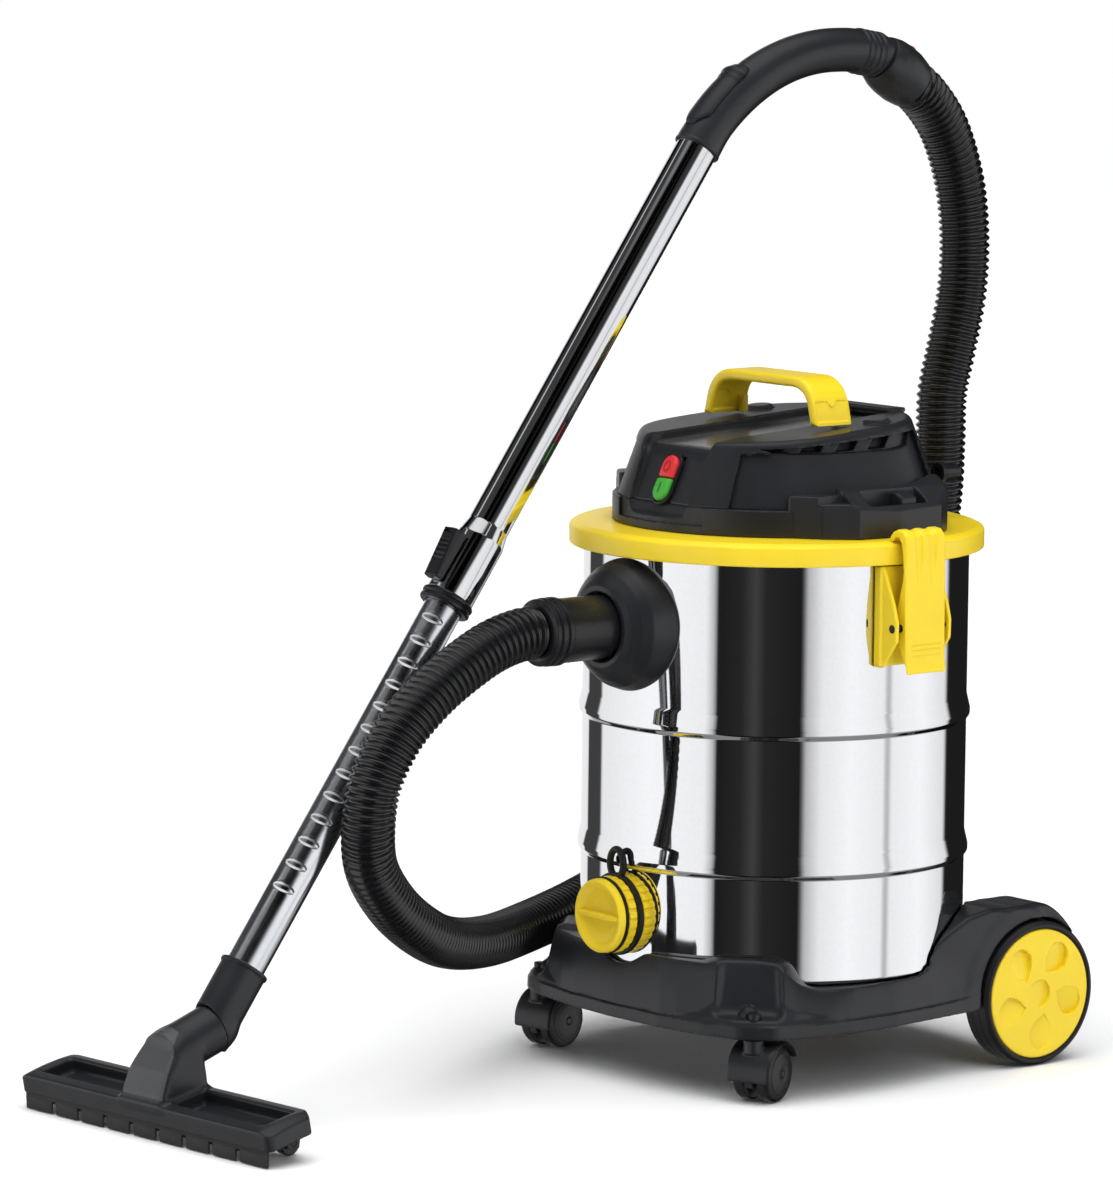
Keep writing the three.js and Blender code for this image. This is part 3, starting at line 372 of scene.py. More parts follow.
def sdf(name, fn, lo, hi, h, mat, body, cad=(), M=None, relax=2, angle=None):
    """a mesh of the surface fn(x, y, z) = 0, inside negative"""
    lo = np.array(lo, float); n = np.ceil((np.array(hi, float) - lo) / h).astype(int) + 1
    gx, gy, gz = (lo[i] + h * np.arange(n[i]) for i in range(3))
    f = np.asarray(fn(gx[:, None, None], gy[None, :, None], gz[None, None, :]), np.float32)
    f = np.broadcast_to(f, tuple(n)).copy()
    for ax in range(3):                       # closed at the grid's own walls
        sl = [slice(None)] * 3
        for e in (0, -1):
            sl[ax] = e
            f[tuple(sl)] = mx(f[tuple(sl)], 0.05)
    s = f < 0
    cnt = np.zeros(n - 1, np.int8)
    for i in (0, 1):
        for j in (0, 1):
            for k in (0, 1):
                cnt += s[i:n[0] - 1 + i, j:n[1] - 1 + j, k:n[2] - 1 + k]
    act = (cnt > 0) & (cnt < 8)
    I = np.argwhere(act)
    ids = np.full(act.shape, -1, np.int64); ids[act] = np.arange(len(I))
    cv = {(i, j, k): f[I[:, 0] + i, I[:, 1] + j, I[:, 2] + k] for i in (0, 1) for j in (0, 1) for k in (0, 1)}
    acc, num = np.zeros((len(I), 3)), np.zeros(len(I))
    for a in cv:
        for ax in range(3):
            if a[ax]:
                continue
            b = list(a); b[ax] = 1; b = tuple(b)
            va, vb = cv[a], cv[b]
            mk = (va < 0) != (vb < 0)
            t = np.where(mk, va / np.where(mk, va - vb, 1), 0)
            p = np.tile(np.array(a, float), (len(I), 1)); p[:, ax] += t
            acc[mk] += p[mk]; num += mk
    P = lo + h * (I + acc / num[:, None])
    quads = []
    for ax in range(3):
        u, v = [(1, 2), (2, 0), (0, 1)][ax]
        sl0 = [slice(1, -1)] * 3; sl1 = [slice(1, -1)] * 3
        sl0[ax] = slice(0, -1); sl1[ax] = slice(1, None)
        A, B = s[tuple(sl0)], s[tuple(sl1)]
        E = np.argwhere(A != B)
        ins = A[tuple(E.T)]
        base = E.copy(); base[:, u] += 1; base[:, v] += 1
        def cell(du, dv):
            q = base.copy(); q[:, u] += du; q[:, v] += dv
            return ids[tuple(q.T)]
        Q = np.stack([cell(-1, -1), cell(0, -1), cell(0, 0), cell(-1, 0)], 1)
        Q[~ins] = Q[~ins][:, ::-1]
        quads.append(Q)
    Q = np.concatenate(quads)
    e = 0.12
    for _ in range(relax):
        x, y, z = P.T
        f0 = fn(x, y, z)
        g = np.stack([fn(x + e, y, z) - f0, fn(x, y + e, z) - f0, fn(x, y, z + e) - f0], 1) / e
        g2 = mx((g * g).sum(1), 0.2)
        st = -(f0 / g2)[:, None] * g
        L = np.linalg.norm(st, axis=1, keepdims=True)
        P = P + st * mn(1, 0.5 * h / mx(L, 1e-9))
    if M is not None:
        P = put(M, P)
    return build(name, P, Q, mat, body, cad, angle)


def tube(centres, radii, seg=48, up=(1, 0, 0), caps=True, twist=None):
    """tube through centres with a radius at each; a radius may also be an array over the section"""
    C = np.asarray(centres, float)
    T = np.gradient(C, axis=0); T /= np.linalg.norm(T, axis=1, keepdims=True)
    th = np.arange(seg) * 2 * math.pi / seg
    N = np.array(up, float); N -= T[0] * (N @ T[0]); N /= np.linalg.norm(N)
    P = []
    for i in range(len(C)):
        if i:
            N = N - T[i] * (N @ T[i]); N /= np.linalg.norm(N)
        B = np.cross(T[i], N)
        r = np.asarray(radii[i]) if np.ndim(radii[i]) else radii[i]
        P.append(C[i] + (np.cos(th) * r)[:, None] * N + (np.sin(th) * r)[:, None] * B)
    P = np.concatenate(P)
    k = len(C)
    a = (np.arange(k - 1)[:, None] * seg + np.arange(seg)[None, :])
    b = (np.arange(k - 1)[:, None] * seg + (np.arange(seg)[None, :] + 1) % seg)
    Q = np.stack([a, b, b + seg, a + seg], -1).reshape(-1, 4)
    faces = [tuple(q) for q in Q]
    if caps:
        n0 = len(P)
        P = np.concatenate([P, C[:1], C[-1:]])
        faces += [(n0, (i + 1) % seg, i) for i in range(seg)]
        o = (k - 1) * seg
        faces += [(n0 + 1, o + i, o + (i + 1) % seg) for i in range(seg)]
    return P, faces


def catmull(pts, n_per_mm=1.0, step=None):
    """the same centripetal curve as the CAD's hose, sampled evenly"""
    pts = [np.array(p, float) for p in pts]
    out = []
    N = len(pts)
    for i in range(N - 1):
        p1, p2 = pts[i], pts[i + 1]
        p0 = pts[i - 1] if i > 0 else 2 * pts[0] - pts[1]
        p3 = pts[i + 2] if i + 2 < N else 2 * pts[-1] - pts[-2]
        d0, d1, d2 = ((np.sum((b - a) ** 2)) ** 0.25 for a, b in ((p0, p1), (p1, p2), (p2, p3)))
        d1 = d1 if d1 > 1e-4 else 1.0; d0 = d0 if d0 > 1e-4 else d1; d2 = d2 if d2 > 1e-4 else d1
        t1 = ((p1 - p0) / d0 - (p2 - p0) / (d0 + d1) + (p2 - p1) / d1) * d1
        t2 = ((p2 - p1) / d1 - (p3 - p1) / (d1 + d2) + (p3 - p2) / d2) * d1
        for t in np.linspace(0, 1, 60, endpoint=False):
            out.append(p1 + t1 * t + (-3 * p1 + 3 * p2 - 2 * t1 - t2) * t * t + (2 * p1 - 2 * p2 + t1 + t2) * t ** 3)
    out.append(pts[-1])
    out = np.array(out)
    L = np.r_[0, np.cumsum(np.linalg.norm(np.diff(out, axis=0), axis=1))]
    m_ = max(2, int(round(L[-1] / step)) + 1)
    s = np.linspace(0, L[-1], m_)
    return np.stack([np.interp(s, L, out[:, i]) for i in range(3)], 1), s


# -------------------------------------------------------------------- hose
HOSE_PATH = [
    (0, -262.7, 389), (0, -276, 389), (0, -306, 382), (0, -340, 366), (0, -374, 344.5),
    (0, -407, 314), (0, -430, 274), (-6, -431, 236), (-17.6, -419, 205), (-40, -380, 166),
    (-71, -321.5, 131), (-104, -267, 112), (-138, -203, 102), (-172, -136, 101), (-202, -52, 110),
    (-210, 10, 128), (-204, 67, 156), (-184, 119, 192), (-151, 163, 236), (-115, 195, 287),
    (-84, 217, 345), (-62, 229, 408), (-51, 231, 468), (-47, 230, 520), (-47, 231, 560),
    (-47, 241, 600), (-47, 252, 648), (-47, 254, 700), (-47, 246, 750), (-47, 225, 798),
    (-47, 199, 826.2), (-47, 188.55, 832.88)]
PITCH_H = 6.3
hp, hs = catmull(HOSE_PATH, step=PITCH_H / 8)
hose_len = float(hs[-1])
SEG_H = 40
th_h = np.arange(SEG_H) * 2 * math.pi / SEG_H
radii = []
for s_ in hs:
    end = min(1.0, min(s_, hose_len - s_) / 4.0)
    ph = 2 * math.pi * (s_ / PITCH_H) - th_h
    w = 0.5 + 0.5 * np.cos(ph)
    radii.append(19.5 + 3.0 * (w ** 0.8) * end)
Ph, fh = tube(hp, radii, SEG_H)
hose = build("hose_corrugated", Ph, fh, M_HOSE, "machine", "hose", angle=None)

# -------------------------------------------------------------------- tank
R = 165.0
def bead(z0):
    return [(R, z0 - 2, 2), (R + 2.9, z0 + 1.6, 3), (R + 3.1, z0 + 6.2, 3.5), (R, z0 + 19, 14)]
prof = [(0, 88.2), (150, 88.2, 3), (163, 89.5, 5), (165, 96, 6)] + bead(184) + bead(302) + \
       [(R, 440), (R, 451, 1), (R + 2.5, 452.5, 1), (R + 2.5, 454.2, 0.8), (R - 1.2, 454.2, 0.6), (R - 1.2, 98, 4), (158, 91, 5), (0, 91)]
P, f = lathe(fillet(prof, 0, 10), 256)
tank = build("steel_tank", P, f, M_STEEL, "machine", "tank", 40)

# ------------------------------------------------ lid ring and motor head
O = np.eye(4)
lid = turned("lid_ring_part", [(118, 462.6), (118, 467.4), (150, 467.5, 3), (171.5, 466.4, 6), (177.6, 463.6, 3.2), (177.6, 447.2, 1.6),
              (172.7, 447.2, 0.8), (172.7, 459.6, 0.5), (150, 459.6), (150, 462.6)], O, M_YELLOW, "machine", "lid_ring", 256, 35)

TAN = math.tan(rad(26))


def rake(x, y, z):                       # the room in front of the raked switch panel
    yp = -120 + (z - 508.5) * TAN
    return smax(smax((y - yp) * math.cos(rad(26)), abs(x) - (36.5 + (z - 479) * 0.07), 3.5), 479.5 - z, 3.5)


def wall(z):
    return 138.2 - (z - 490) * 0.372


def ztop(y):
    return 543 + (y + 117) / 234 * 17


def cover_fn(x, y, z):
    ax, rho = abs(x), np.sqrt(x * x + y * y)
    zt = ztop(y)
    b0 = smax((rho - wall(z)) * 0.937, (ax - (127.0 - (z - 492) * 0.42)) * 0.92, 16)
    # the side panel, set in between the cheek, the rail and the rear post
    fy = -113.5 + (z - 498) * 0.38
    reg = mx(mx(fy - y, y - (84 - (z - 490) * 0.12)), mx(z - (zt - 9.2), 45 - ax))
    b = smax(b0, -mx(reg, -(b0 + 4.6)), 0.8)
    # long recess under the rail with its louvres
    zl = np.interp(y, [-98, -82, -62, -13, 43, 62, 70], [542.5, 537, 535, 534, 534, 536.5, 546])
    brow = mx(mx(zl - z, z - (zt - 6.2 - 0.018 * (y + 70))), mx(-98 - y, y - 70))
    b = smax(b, -mx(brow, mx(-(b0 + 9.0 - (z - 534) * 0.12), 45 - ax)), 1.0)
    for yc in (-76, -42, -6, 30):
        lv = mx(abs(y - yc - (z - 541) * 0.9) - 9.5, mx(zl + 1.5 - z, z - (zt - 7.4 - 0.018 * (y + 70))))
        b = smax(b, -mx(lv, mx(-(b0 + 14.5), 45 - ax)), 0.8)
    b = smax(b, z - zt, 4.5)
    # sunken plate between the rails, and the raked panel
    rk = rake(x, y, z)
    b = smax(b, -smin(rk, smax(smax(ax - 41, zt - 7.4 - z, 1.5), y - 101, 4), 11), 1.6)
    b = smax(b, -mx(mx(ax - 10.8, abs((y + 120) * 0.438 + (z - 508.5) * 0.899) - 22), -rk - 9), 0.8)
    # hollow
    b = mx(b, -mx(mx(b0 + 17.5, z - (zt - 15)), 8 - rk))
    # low dome and pad on the rails behind the handle
    d1 = disc(x - 76, y - 44, z - (zt + 0.6), 11.5, 2.6, 2.2)
    d2 = disc(x + 76, y - 44, z - (zt + 0.6), 11.5, 2.6, 2.2)
    d3 = rbox(x, y, z, (0, 98, ztop(98) + 0.8), (44, 9, 2.2), 1.8)
    b = smin(b, mn(mn(d1, d2), d3), 1.5)
    return mx(b, 490.4 - z)


cover = sdf("head_cover", cover_fn, (-142, -142, 488.5), (142, 142, 566), 1.15, M_BLACK, "machine", "top_cover", angle=28)
cover.data.materials.append(M_PANEL_GREY_PAINTED_SHEEN)
cen = np.empty(len(cover.data.polygons) * 3); cover.data.polygons.foreach_get("center", cen); cen = cen.reshape(-1, 3) * 1000 - OFF
nor = np.empty(len(cover.data.polygons) * 3); cover.data.polygons.foreach_get("normal", nor); nor = nor.reshape(-1, 3)
# faces of the sunken plate between the rails take the grey material with its painted sheen
mi = ((abs(cen[:, 0]) < 40.2) & (abs(cen[:, 2] - ztop(cen[:, 1]) + 7.4) < 1.2) & (nor[:, 2] > 0.9) & (cen[:, 1] < 100)).astype(np.int32)
cover.data.polygons.foreach_set("material_index", mi)

SH = fillet([(108, -86), (136, -67), (154, -40), (158.3, 0), (156, 48), (142, 68), (108, 86)], 3.0, 3)


def belt_fn(x, y, z):
    ax, rho = abs(x), np.sqrt(x * x + y * y)
    b = smax(rho - 141, z - 490.2, 1.6)
    b = smax(b, -mx(mx(ax - 55, y + 60), mx(475 - z, -(rho - 138.3))), 0.5)
    zt = np.where(ax < 136, 508 - (ax - 126) * 0.2, 506 - (ax - 136) * 0.70)
    zt = np.where(y < -44, mn(zt, 497.0 + (ax < 133) * 6), zt)
    sb = smax(poly(ax, y, SH), z - zt, 2.4)
    sb = smax(sb, -rbox(ax, y, z, (143.6, 4, 505), (8.6, 31.5, 25), 3), 1.4)
    sb = mn(sb, smax(rbox(ax, y, z, (143, 16, 489), (8, 8.5, 14), 1.5), (z - 503 + (ax - 143) * 0.5) * 0.9, 1.2))
    sb = smax(sb, -(disc(ax - 151, z - 508, y + 4, 9, 12, 1)), 1.0)
    b = mn(b, sb)
    b = smax(b, -rake(x, y, z), 1.5)
    b = mx(b, -mx(mx(rho - 131.5, 472 - z), 5 - rake(x, y, z)))
    b = mx(b, 110.5 - rho)
    return mx(b, 467.95 - z)


belt = sdf("head_belt", belt_fn, (-161, -143, 466), (161, 143, 512), 1.15, M_BLACK, "machine", "motor_housing", angle=28)
Pb, fb = lathe([(24, 395), (113, 395), (114, 398), (114, 468.2), (110.5, 468.2), (110.5, 399), (24, 399)], 96)
bowl = build("head_bowl", Pb, fb, M_BLACK2, "machine", "motor_housing", 35)

# switch: bezel and the two half buttons, with the generic off and on marks
ON_P = np.eye(4); ON_P[:3, 1] = (0, math.cos(rad(64)), math.sin(rad(64))); ON_P[:3, 2] = (0, -math.sin(rad(64)), math.cos(rad(64)))
ON_P[:3, 3] = (0, -120, 508.5)


def slot2(u, v, r, h):                   # upright oval
    return np.sqrt(u * u + mx(abs(v) - (h - r), 0) ** 2) - r


def bezel_fn(x, y, z):
    o = smax(slot2(x, y, 12.6, 23.6), abs(z - 1.6) - 2.4, 1.6)
    return smax(o, -slot2(x, y, 9.8, 21.1), 0.9)


sdf("switch_frame", bezel_fn, (-14, -25, -2), (14, 25, 5.5), 0.45, M_BLACK2, "machine", "switch_bezel", M=ON_P, angle=None)


def button(up, name, node, body, mat, mark):
    s = 1 if up else -1

    def fn(x, y, z):
        o = smax(slot2(x, y, 9.2, 20.5), s * -y + 0.4, 1.6)
        o = smax(o, z - (7.6 - 0.012 * (x * x) - 0.006 * (y - s * 9) ** 2), 2.6)
        return mx(o, -5 - z)
    b = sdf(name, fn, (-10.5, -21.5 if not up else -0.5, -6), (10.5, 0.5 if not up else 21.5, 9), 0.42, mat, body, node, M=ON_P, angle=None)

    def mk(x, y, z):
        zf = 7.6 - 0.012 * x * x - 0.006 * (y - s * 9) ** 2
        if up:
            e = abs(np.sqrt((x / 0.80) ** 2 + (y - 9.6) ** 2) - 4.4) - 0.75
        else:
            e = mx(abs(x) - 0.8, abs(y + 9.6) - 4.6)
        return smax(e, abs(z - zf) - 0.42, 0.3)
    sdf(name + "_mark", mk, (-6, 3.5 if up else -15.5, 5.8), (6, 15.5 if up else -3.5, 8.6), 0.3, mark, body, None or (), M=ON_P, angle=None)


button(True, "off_button_part", "button_off", "off_button", M_RED, M_MARK_R)
button(False, "on_button_part", "button_on", "on_button", M_GREEN, M_MARK_G)

# carry handle
HZ = 543 + 121 / 234 * 17 + 0.5 + 1.9


def q(p0, c, p1, n=7):
    t = np.linspace(0, 1, n + 1)[1:, None]
    p0, c, p1 = (np.array(v, float) for v in (p0, c, p1))
    return [tuple(v) for v in (1 - t) ** 2 * p0 + 2 * t * (1 - t) * c + t * t * p1]


right = [(74.5, 0), (70.5, 18)] + q((70.5, 18), (64, 38.5), (44, 40.2))
left = [(-a, b) for a, b in right[::-1]]
inner_r = [(65.5, 0), (60.5, 17)] + q((60.5, 17), (56.5, 30), (40, 31))
HP = right + left + [(-a, b) for a, b in inner_r] + inner_r[::-1]


def handle_fn(x, y, z):
    w = z - HZ
    p = poly(x, w, HP)
    half = 21 - 1.2 * np.clip(w / 40, 0, 1)
    b = smax(p, abs(y + 1) - half, 4.2)
    # a step across each leg's outer face with a small notch in its middle
    vz = 20.5 - mx(0, 5.5 - abs(y + 1)) * 1.1
    b = smax(b, -mx(mx(w - vz, 3.5 - w), mx(-(p + 1.1), mx(abs(y + 1) - 17.5, 55 - abs(x)))), 0.8)
    # ribs inside the legs
    b = smin(b, rbox(abs(x), y, w, (60, 12, 7.5), (3.2, 3.0, 7.5), 0.8), 1.0)
    return mx(b, 0.05 - w)


sdf("strap_handle", handle_fn, (-77, -24.5, HZ - 1.5), (77, 22.5, HZ + 42), 0.95, M_YELLOW, "machine", "carry_handle", angle=38)

# --------------------------------------------------------------- latches
LEV = [(169.6, 466.9), (169.6, 471), (173, 475), (179.2, 477.4), (186, 476.6), (190.4, 472.5), (191.8, 464), (191.6, 440), (192.2, 400),
       (193.2, 366), (195.2, 357.2), (192.6, 356.8), (190.4, 366), (188.8, 400), (187.2, 436), (185.4, 458), (183.4, 466), (180, 470.2), (175.4, 470.6), (172.4, 466.9)]
CHEEK = [(191, 441), (188, 440), (178.5, 404), (177.6, 393), (181, 384), (191, 364)]
EAR = [(164, 446), (172, 446), (186, 414), (190, 400), (189.6, 384), (172, 361), (164, 361)]


def lever_fn(x, y, z):
    p = poly(x, z, LEV)
    b = smax(p, abs(y) - 22 + np.clip((z - 455) / 60, 0, 0.4), 2.4)
    deep = np.clip((z - 432) / 22, 0, 1) * 1.9
    for yc in (-7.6, 7.6):
        b = smax(b, -smax(abs(y - yc) - 3.4 * np.clip((z - 432) / 22, 0, 1), mx(-(p + deep), 432 - z), 1.5), 2.2)
    b = smin(b, mx(poly(x, z, CHEEK), abs(abs(y) - 20.3) - 1.5), 0.8)
    for zc in (371.5, 376, 380.5):
        b = smax(b, -mx(abs(z - zc) - 0.5, mx(-(p + 0.5), mx(abs(y) - 17, 191.2 - x))), 0.25)
    return b


def bracket_fn(x, y, z):
    rho = np.sqrt(x * x + y * y)
    b = rbox(x, y, z, (167.5, 0, 404), (4.2, 32.5, 42), 1.2)
    ear = smax(poly(x, z, EAR), abs(abs(y) - 29.2) - 1.7, 0.8)
    b = smin(b, ear, 1.0)
    return mx(b, 165.25 - rho)


for side, s in (("right", 1), ("left", -1)):
    T = np.diag([s, s, 1.0, 1.0])
    sdf(f"latch_{side}_lever", lever_fn, (167.5, -23.5, 354.5), (197.5, 23.5, 479), 0.85, M_YELLOW, f"{side}_latch", f"latch_lever_{side}", M=T, angle=38)
    sdf(f"latch_{side}_bracket", bracket_fn, (161, -34.5, 359), (192, 34.5, 448.5), 1.1, M_YELLOW, "machine", f"latch_bracket_{side}", M=T, angle=38)
    pin = join([(put(frame_of((0, 1, 0), (184.6, 0, 395)), lathe(fillet([(0, -31.6), (2.2, -31.6, 1), (3.6, -31.2, 0.5), (3.6, -30.4, 0.4), (2.2, -30.4), (2.2, -22.4), (3.4, -22.4, 0.3), (3.4, -21.7), (2.2, -21.7),
                (2.2, 21.7), (3.4, 21.7), (3.4, 22.4, 0.3), (2.2, 22.4), (2.2, 30.4), (3.6, 30.4, 0.4), (3.6, 31.2, 0.5), (2.2, 31.6, 1), (0, 31.6)], 0, 3), 32)[0]),
                 lathe(fillet([(0, -31.6), (2.2, -31.6, 1), (3.6, -31.2, 0.5), (3.6, -30.4, 0.4), (2.2, -30.4), (2.2, -22.4), (3.4, -22.4, 0.3), (3.4, -21.7), (2.2, -21.7),
                (2.2, 21.7), (3.4, 21.7), (3.4, 22.4, 0.3), (2.2, 22.4), (2.2, 30.4), (3.6, 30.4, 0.4), (3.6, 31.2, 0.5), (2.2, 31.6, 1), (0, 31.6)], 0, 3), 32)[1])])
    build(f"latch_{side}_pin", put(T, pin[0]), pin[1], M_BLACK2, "machine", f"latch_pin_{side}", 35)

# ------------------------------------------------------ hose inlet and drain
FRONT = lambda y, z: frame_of((0, -1, 0), (0, y, z), (1, 0, 0))
turned("inlet_bell", [(30, 6), (56.2, 6, 0.5), (56.6, 11, 1.5), (56.0, 18, 8), (52.4, 28.5, 12), (46, 37.2, 12), (39.4, 43, 7), (34.6, 46.2, 2.4), (30.4, 46.4, 1.6), (28.1, 44, 1), (28.1, 6)],
       FRONT(-149, 389), M_BLACK, "machine", "inlet_flange", 160, 40, n=6)
turned("inlet_cuff", [(20.4, 24), (27.2, 24), (27.2, 77.5, 1), (27.6, 78.6, 0.8), (29.0, 79.4, 0.8), (29.0, 83.6, 0.9), (27.3, 84.9, 0.6), (27.3, 86, 0.6), (28.8, 86.9, 0.8), (28.8, 90.8, 0.9),
              (27.0, 92.1, 0.6), (27.0, 93.2, 0.6), (28.3, 94, 0.8), (28.3, 96.8, 0.9), (24, 98.6, 1.2), (20.4, 98.6)],
       FRONT(-163.7, 389), M_BLACK2, "machine", "hose_cuff_inlet", 128, 40)
DR = FRONT(0, 143)


def ribbed(pts, z0, z1, r0, count, depth, seg, M, name, mat, node, body):
    P, f = lathe(pts, seg)
    r = np.hypot(P[:, 0], P[:, 1]); th = np.arctan2(P[:, 1], P[:, 0])
    k = (P[:, 2] > z0) & (P[:, 2] < z1) & (r > r0)
    sc = 1 - k * depth / mx(r, 1) * (np.cos(count * th) > 0.35)
    P[:, 0] *= sc; P[:, 1] *= sc
    return build(name, put(M, P), f, mat, body, node, 30)


ribbed(fillet([(17, 148), (21.4, 148), (21.4, 161), (33.8, 161, 1), (34.6, 164.8, 1), (34.6, 165.5), (34.6, 168.6), (33.6, 169.4, 0.6), (22, 169.4), (22, 186), (17, 186)], 0, 3),
       161.5, 169, 30, 30, 1.5, 360, DR, "drain_neck", M_YELLOW, "drain_spout", "machine")
strap_P, strap_f = lathe(fillet([(22.5, 170.2), (34.6, 170.2, 1), (35.4, 172.6, 1.5), (34.6, 175, 1), (22.5, 175)], 0, 4), 96)
loop_c = [(8.8 * math.cos(a), -172.6, 143 + 43 + 12.0 * math.sin(a)) for a in np.linspace(0, 2 * math.pi, 60)]
lP, lf = tube(loop_c, [3.0] * len(loop_c), 16, up=(0, 1, 0))
sP, sf = join([(put(DR, strap_P), strap_f), (lP, lf)])
build("drain_strap_part", sP, sf, M_RUBBER, "machine", "drain_strap", 40)
turned("drain_seal_ring", [(30.5, 184.4, 0.8), (32.9, 184.6, 0.9), (32.9, 186.9, 0.9), (30.5, 187, 0.8)], DR, M_RUBBER, "drain_seal", "drain_cap_seal", 96)
cap_pts = fillet([(0, 187.6), (15, 187.7, 5), (22.5, 189.2, 4), (26.4, 193.2, 1.6), (29.3, 193.9, 1.2), (31.2, 192.2, 1.4), (31.7, 188), (31.0, 187.5, 0.3), (30.1, 187.3), (30.1, 184.1), (31.0, 184),
                  (32.6, 183.3, 0.6), (32.6, 176.2, 0.6), (31.6, 175.6), (22.7, 175.6), (22.7, 186.6), (0, 186.6)], 0, 3)
cP, cf = lathe(cap_pts, 288)
r = np.hypot(cP[:, 0], cP[:, 1]); th = np.arctan2(cP[:, 1], cP[:, 0])
k = (cP[:, 2] > 175.9) & (cP[:, 2] < 184) & (r > 30)
sc = 1 - k * 1.5 / mx(r, 1) * (np.cos(24 * th) > 0.5)
cP[:, 0] *= sc; cP[:, 1] *= sc
bP, bf = prism(fillet([(-25.4, -2.3), (25.4, -2.3), (25.4, 2.3), (-25.4, 2.3)], 1.6, 4), 187, 193.4, 1.3, 3)
cP, cf = join([(cP, cf), (bP, bf)])
build("drain_cap_part", put(DR, cP), cf, M_YELLOW, "drain_cap", "drain_cap", 32)

# ------------------------------------------------------------------ dolly
OUT = [(0, -178), (60, -176), (108, -168), (142, -156), (163, -132), (172, -102), (176, -62), (176, -10),
       (171, 36), (163, 90), (150, 130), (124, 176), (84, 198), (0, 206)]
FULL = OUT + [(-a, b) for a, b in OUT[1:-1][::-1]]
FULL_S = [tuple(p) for p in fillet(FULL, 30, 3)]
th_t = np.linspace(-math.pi, math.pi, 721)


def edge_r(t):
    dx, dy = math.sin(t), -math.cos(t)
    best = 0
    for i in range(len(FULL_S)):
        (ax_, ay_), (bx_, by_) = FULL_S[i - 1], FULL_S[i]
        ex, ey = bx_ - ax_, by_ - ay_
        den = dx * ey - dy * ex
        if abs(den) < 1e-9:
            continue
        s_, u_ = (ax_ * ey - ay_ * ex) / den, (ax_ * dy - ay_ * dx) / den
        if s_ > 0 and -1e-9 <= u_ <= 1 + 1e-9:
            best = max(best, s_)
    return best


E_T = np.array([edge_r(t) for t in th_t])


def sstep(a, b, x):
    u = np.clip((x - a) / (b - a), 0, 1)
    return u * u * (3 - 2 * u)


FEN = [(-60, 64), (-60, 78), (-24, 86), (8, 96), (36, 110), (60, 125), (84, 136), (108, 140.5), (138, 139), (164, 131), (186, 115), (200, 98), (206, 78), (206, 60), (100, 56)]
WY, WZ = 162.0, 62.5


def dolly_fn(x, y, z):
    ax, rho = abs(x), np.sqrt(x * x + y * y)
    th = np.arctan2(x, -y)
    E = np.interp(th, th_t, E_T)
    a = abs(th) * 180 / math.pi
    lip = 113 - 21 * sstep(44, 64, a) + 10 * sstep(100, 135, a)
    rs = 173 + 0.45 * mx(0, E - 178)
    r1 = mx(mn(rs, E - 8.5), 168.5); r2 = mx(mn(rs + 9, E - 2.6), r1 + 3)
    z2 = 69 + 16 * np.clip((E - 2 - r2) / 20, 0, 1)
    t1 = np.clip((rho - r1) / (r2 - r1), 0, 1)
    t2 = np.clip((rho - r2) / mx(E - 2 - r2, 1), 0, 1)
    H = lip + (z2 - lip) * t1 ** 1.5
    H = np.where(rho > r2, z2 - (z2 - 67.5) * t2 ** 1.2, H)
    top = (z - H) * 0.4
    side = rho - (E - 2)
    band = smax(rho - E, abs(z - 60.5) - 5.6, 1.6)          # rolled rim
    b = smax(top, side, 3)
    # hump over each caster, with a pocket for the stem's cap
    ca, sa = math.cos(rad(44)), math.sin(rad(44))
    w, u = ax * sa - y * ca, ax * ca + y * sa                 # outward and across, at the caster's corner
    hump = smax(smax(np.sqrt((w - 160) ** 2 + u * u) - 37 + (z - 100) * 0.25, z - 113.5, 9), 60 - z, 1)
    b = smin(b, hump, 9)
    b = smin(b, band, 1.5)
    # fender
    wr = np.sqrt((y - WY) ** 2 + (z - WZ) ** 2)
    fd = smax(poly(y, z, FEN), abs(ax - 137) - 25, 5)
    fd = smax(fd, mn(wr - 77.5, y - (WY - 14)), 3)
    arch = smax(wr - (77.5 - 13.5 * sstep(6, 62, y - WY)), abs(ax - 136) - 24.5, 5)
    fd = smin(fd, arch, 8)
    fd = smax(fd, (57 - z), 2)
    b = smin(b, fd, 9)
    b = smax(b, -smax(smax(abs(u) - 29.5 + (z - 70) * 0.08, 71.5 - z, 8), 181.5 + (106 - z) * 0.26 - w, 9), 3.5)
    b = smin(b, smax(np.sqrt((w - 191) ** 2 + u * u + (z - 72) ** 2) - 8.6, 70 - z, 0.5), 0.8)
    # wheels' room, notch under the drain, room for the tank, open underside
    b = smax(b, -mx(wr - 65.6, 136.6 - ax), 1.2)
    b = mx(b, -mx(mx(abs(y - WY - 40) - 100, z - 55), 160 - ax))
    b = smax(b, -(np.sqrt(x * x + (z - 144) ** 2) - 43 + 0 * y + 400 * (y > 0)), 4)
    b = smax(b, -mx(rho - 166.3, 87.8 - z), 1.2)
    b = mx(b, -mx(mx(rho - (E - 9), rho - 172), z - (79 - 0.05 * mx(0, rho - 120))))
    b = mx(b, 54.9 - z)
    b = mx(b, -(wr - 4.9 + 0 * x))
    # stem sockets
    sx, sy = ax - 143, y + 140
    st = np.sqrt(sx * sx + sy * sy)
    b = mn(b, mx(mx(mx(st - 10.5, 56 - z), z - 66), rho - E + 3))
    return mx(b, -mx(st - 6.0, z - 80.5))


sdf("dolly_part", dolly_fn, (-180, -182, 53), (180, 241, 146), 1.5, M_BLACK, "machine", "dolly_base", angle=30)

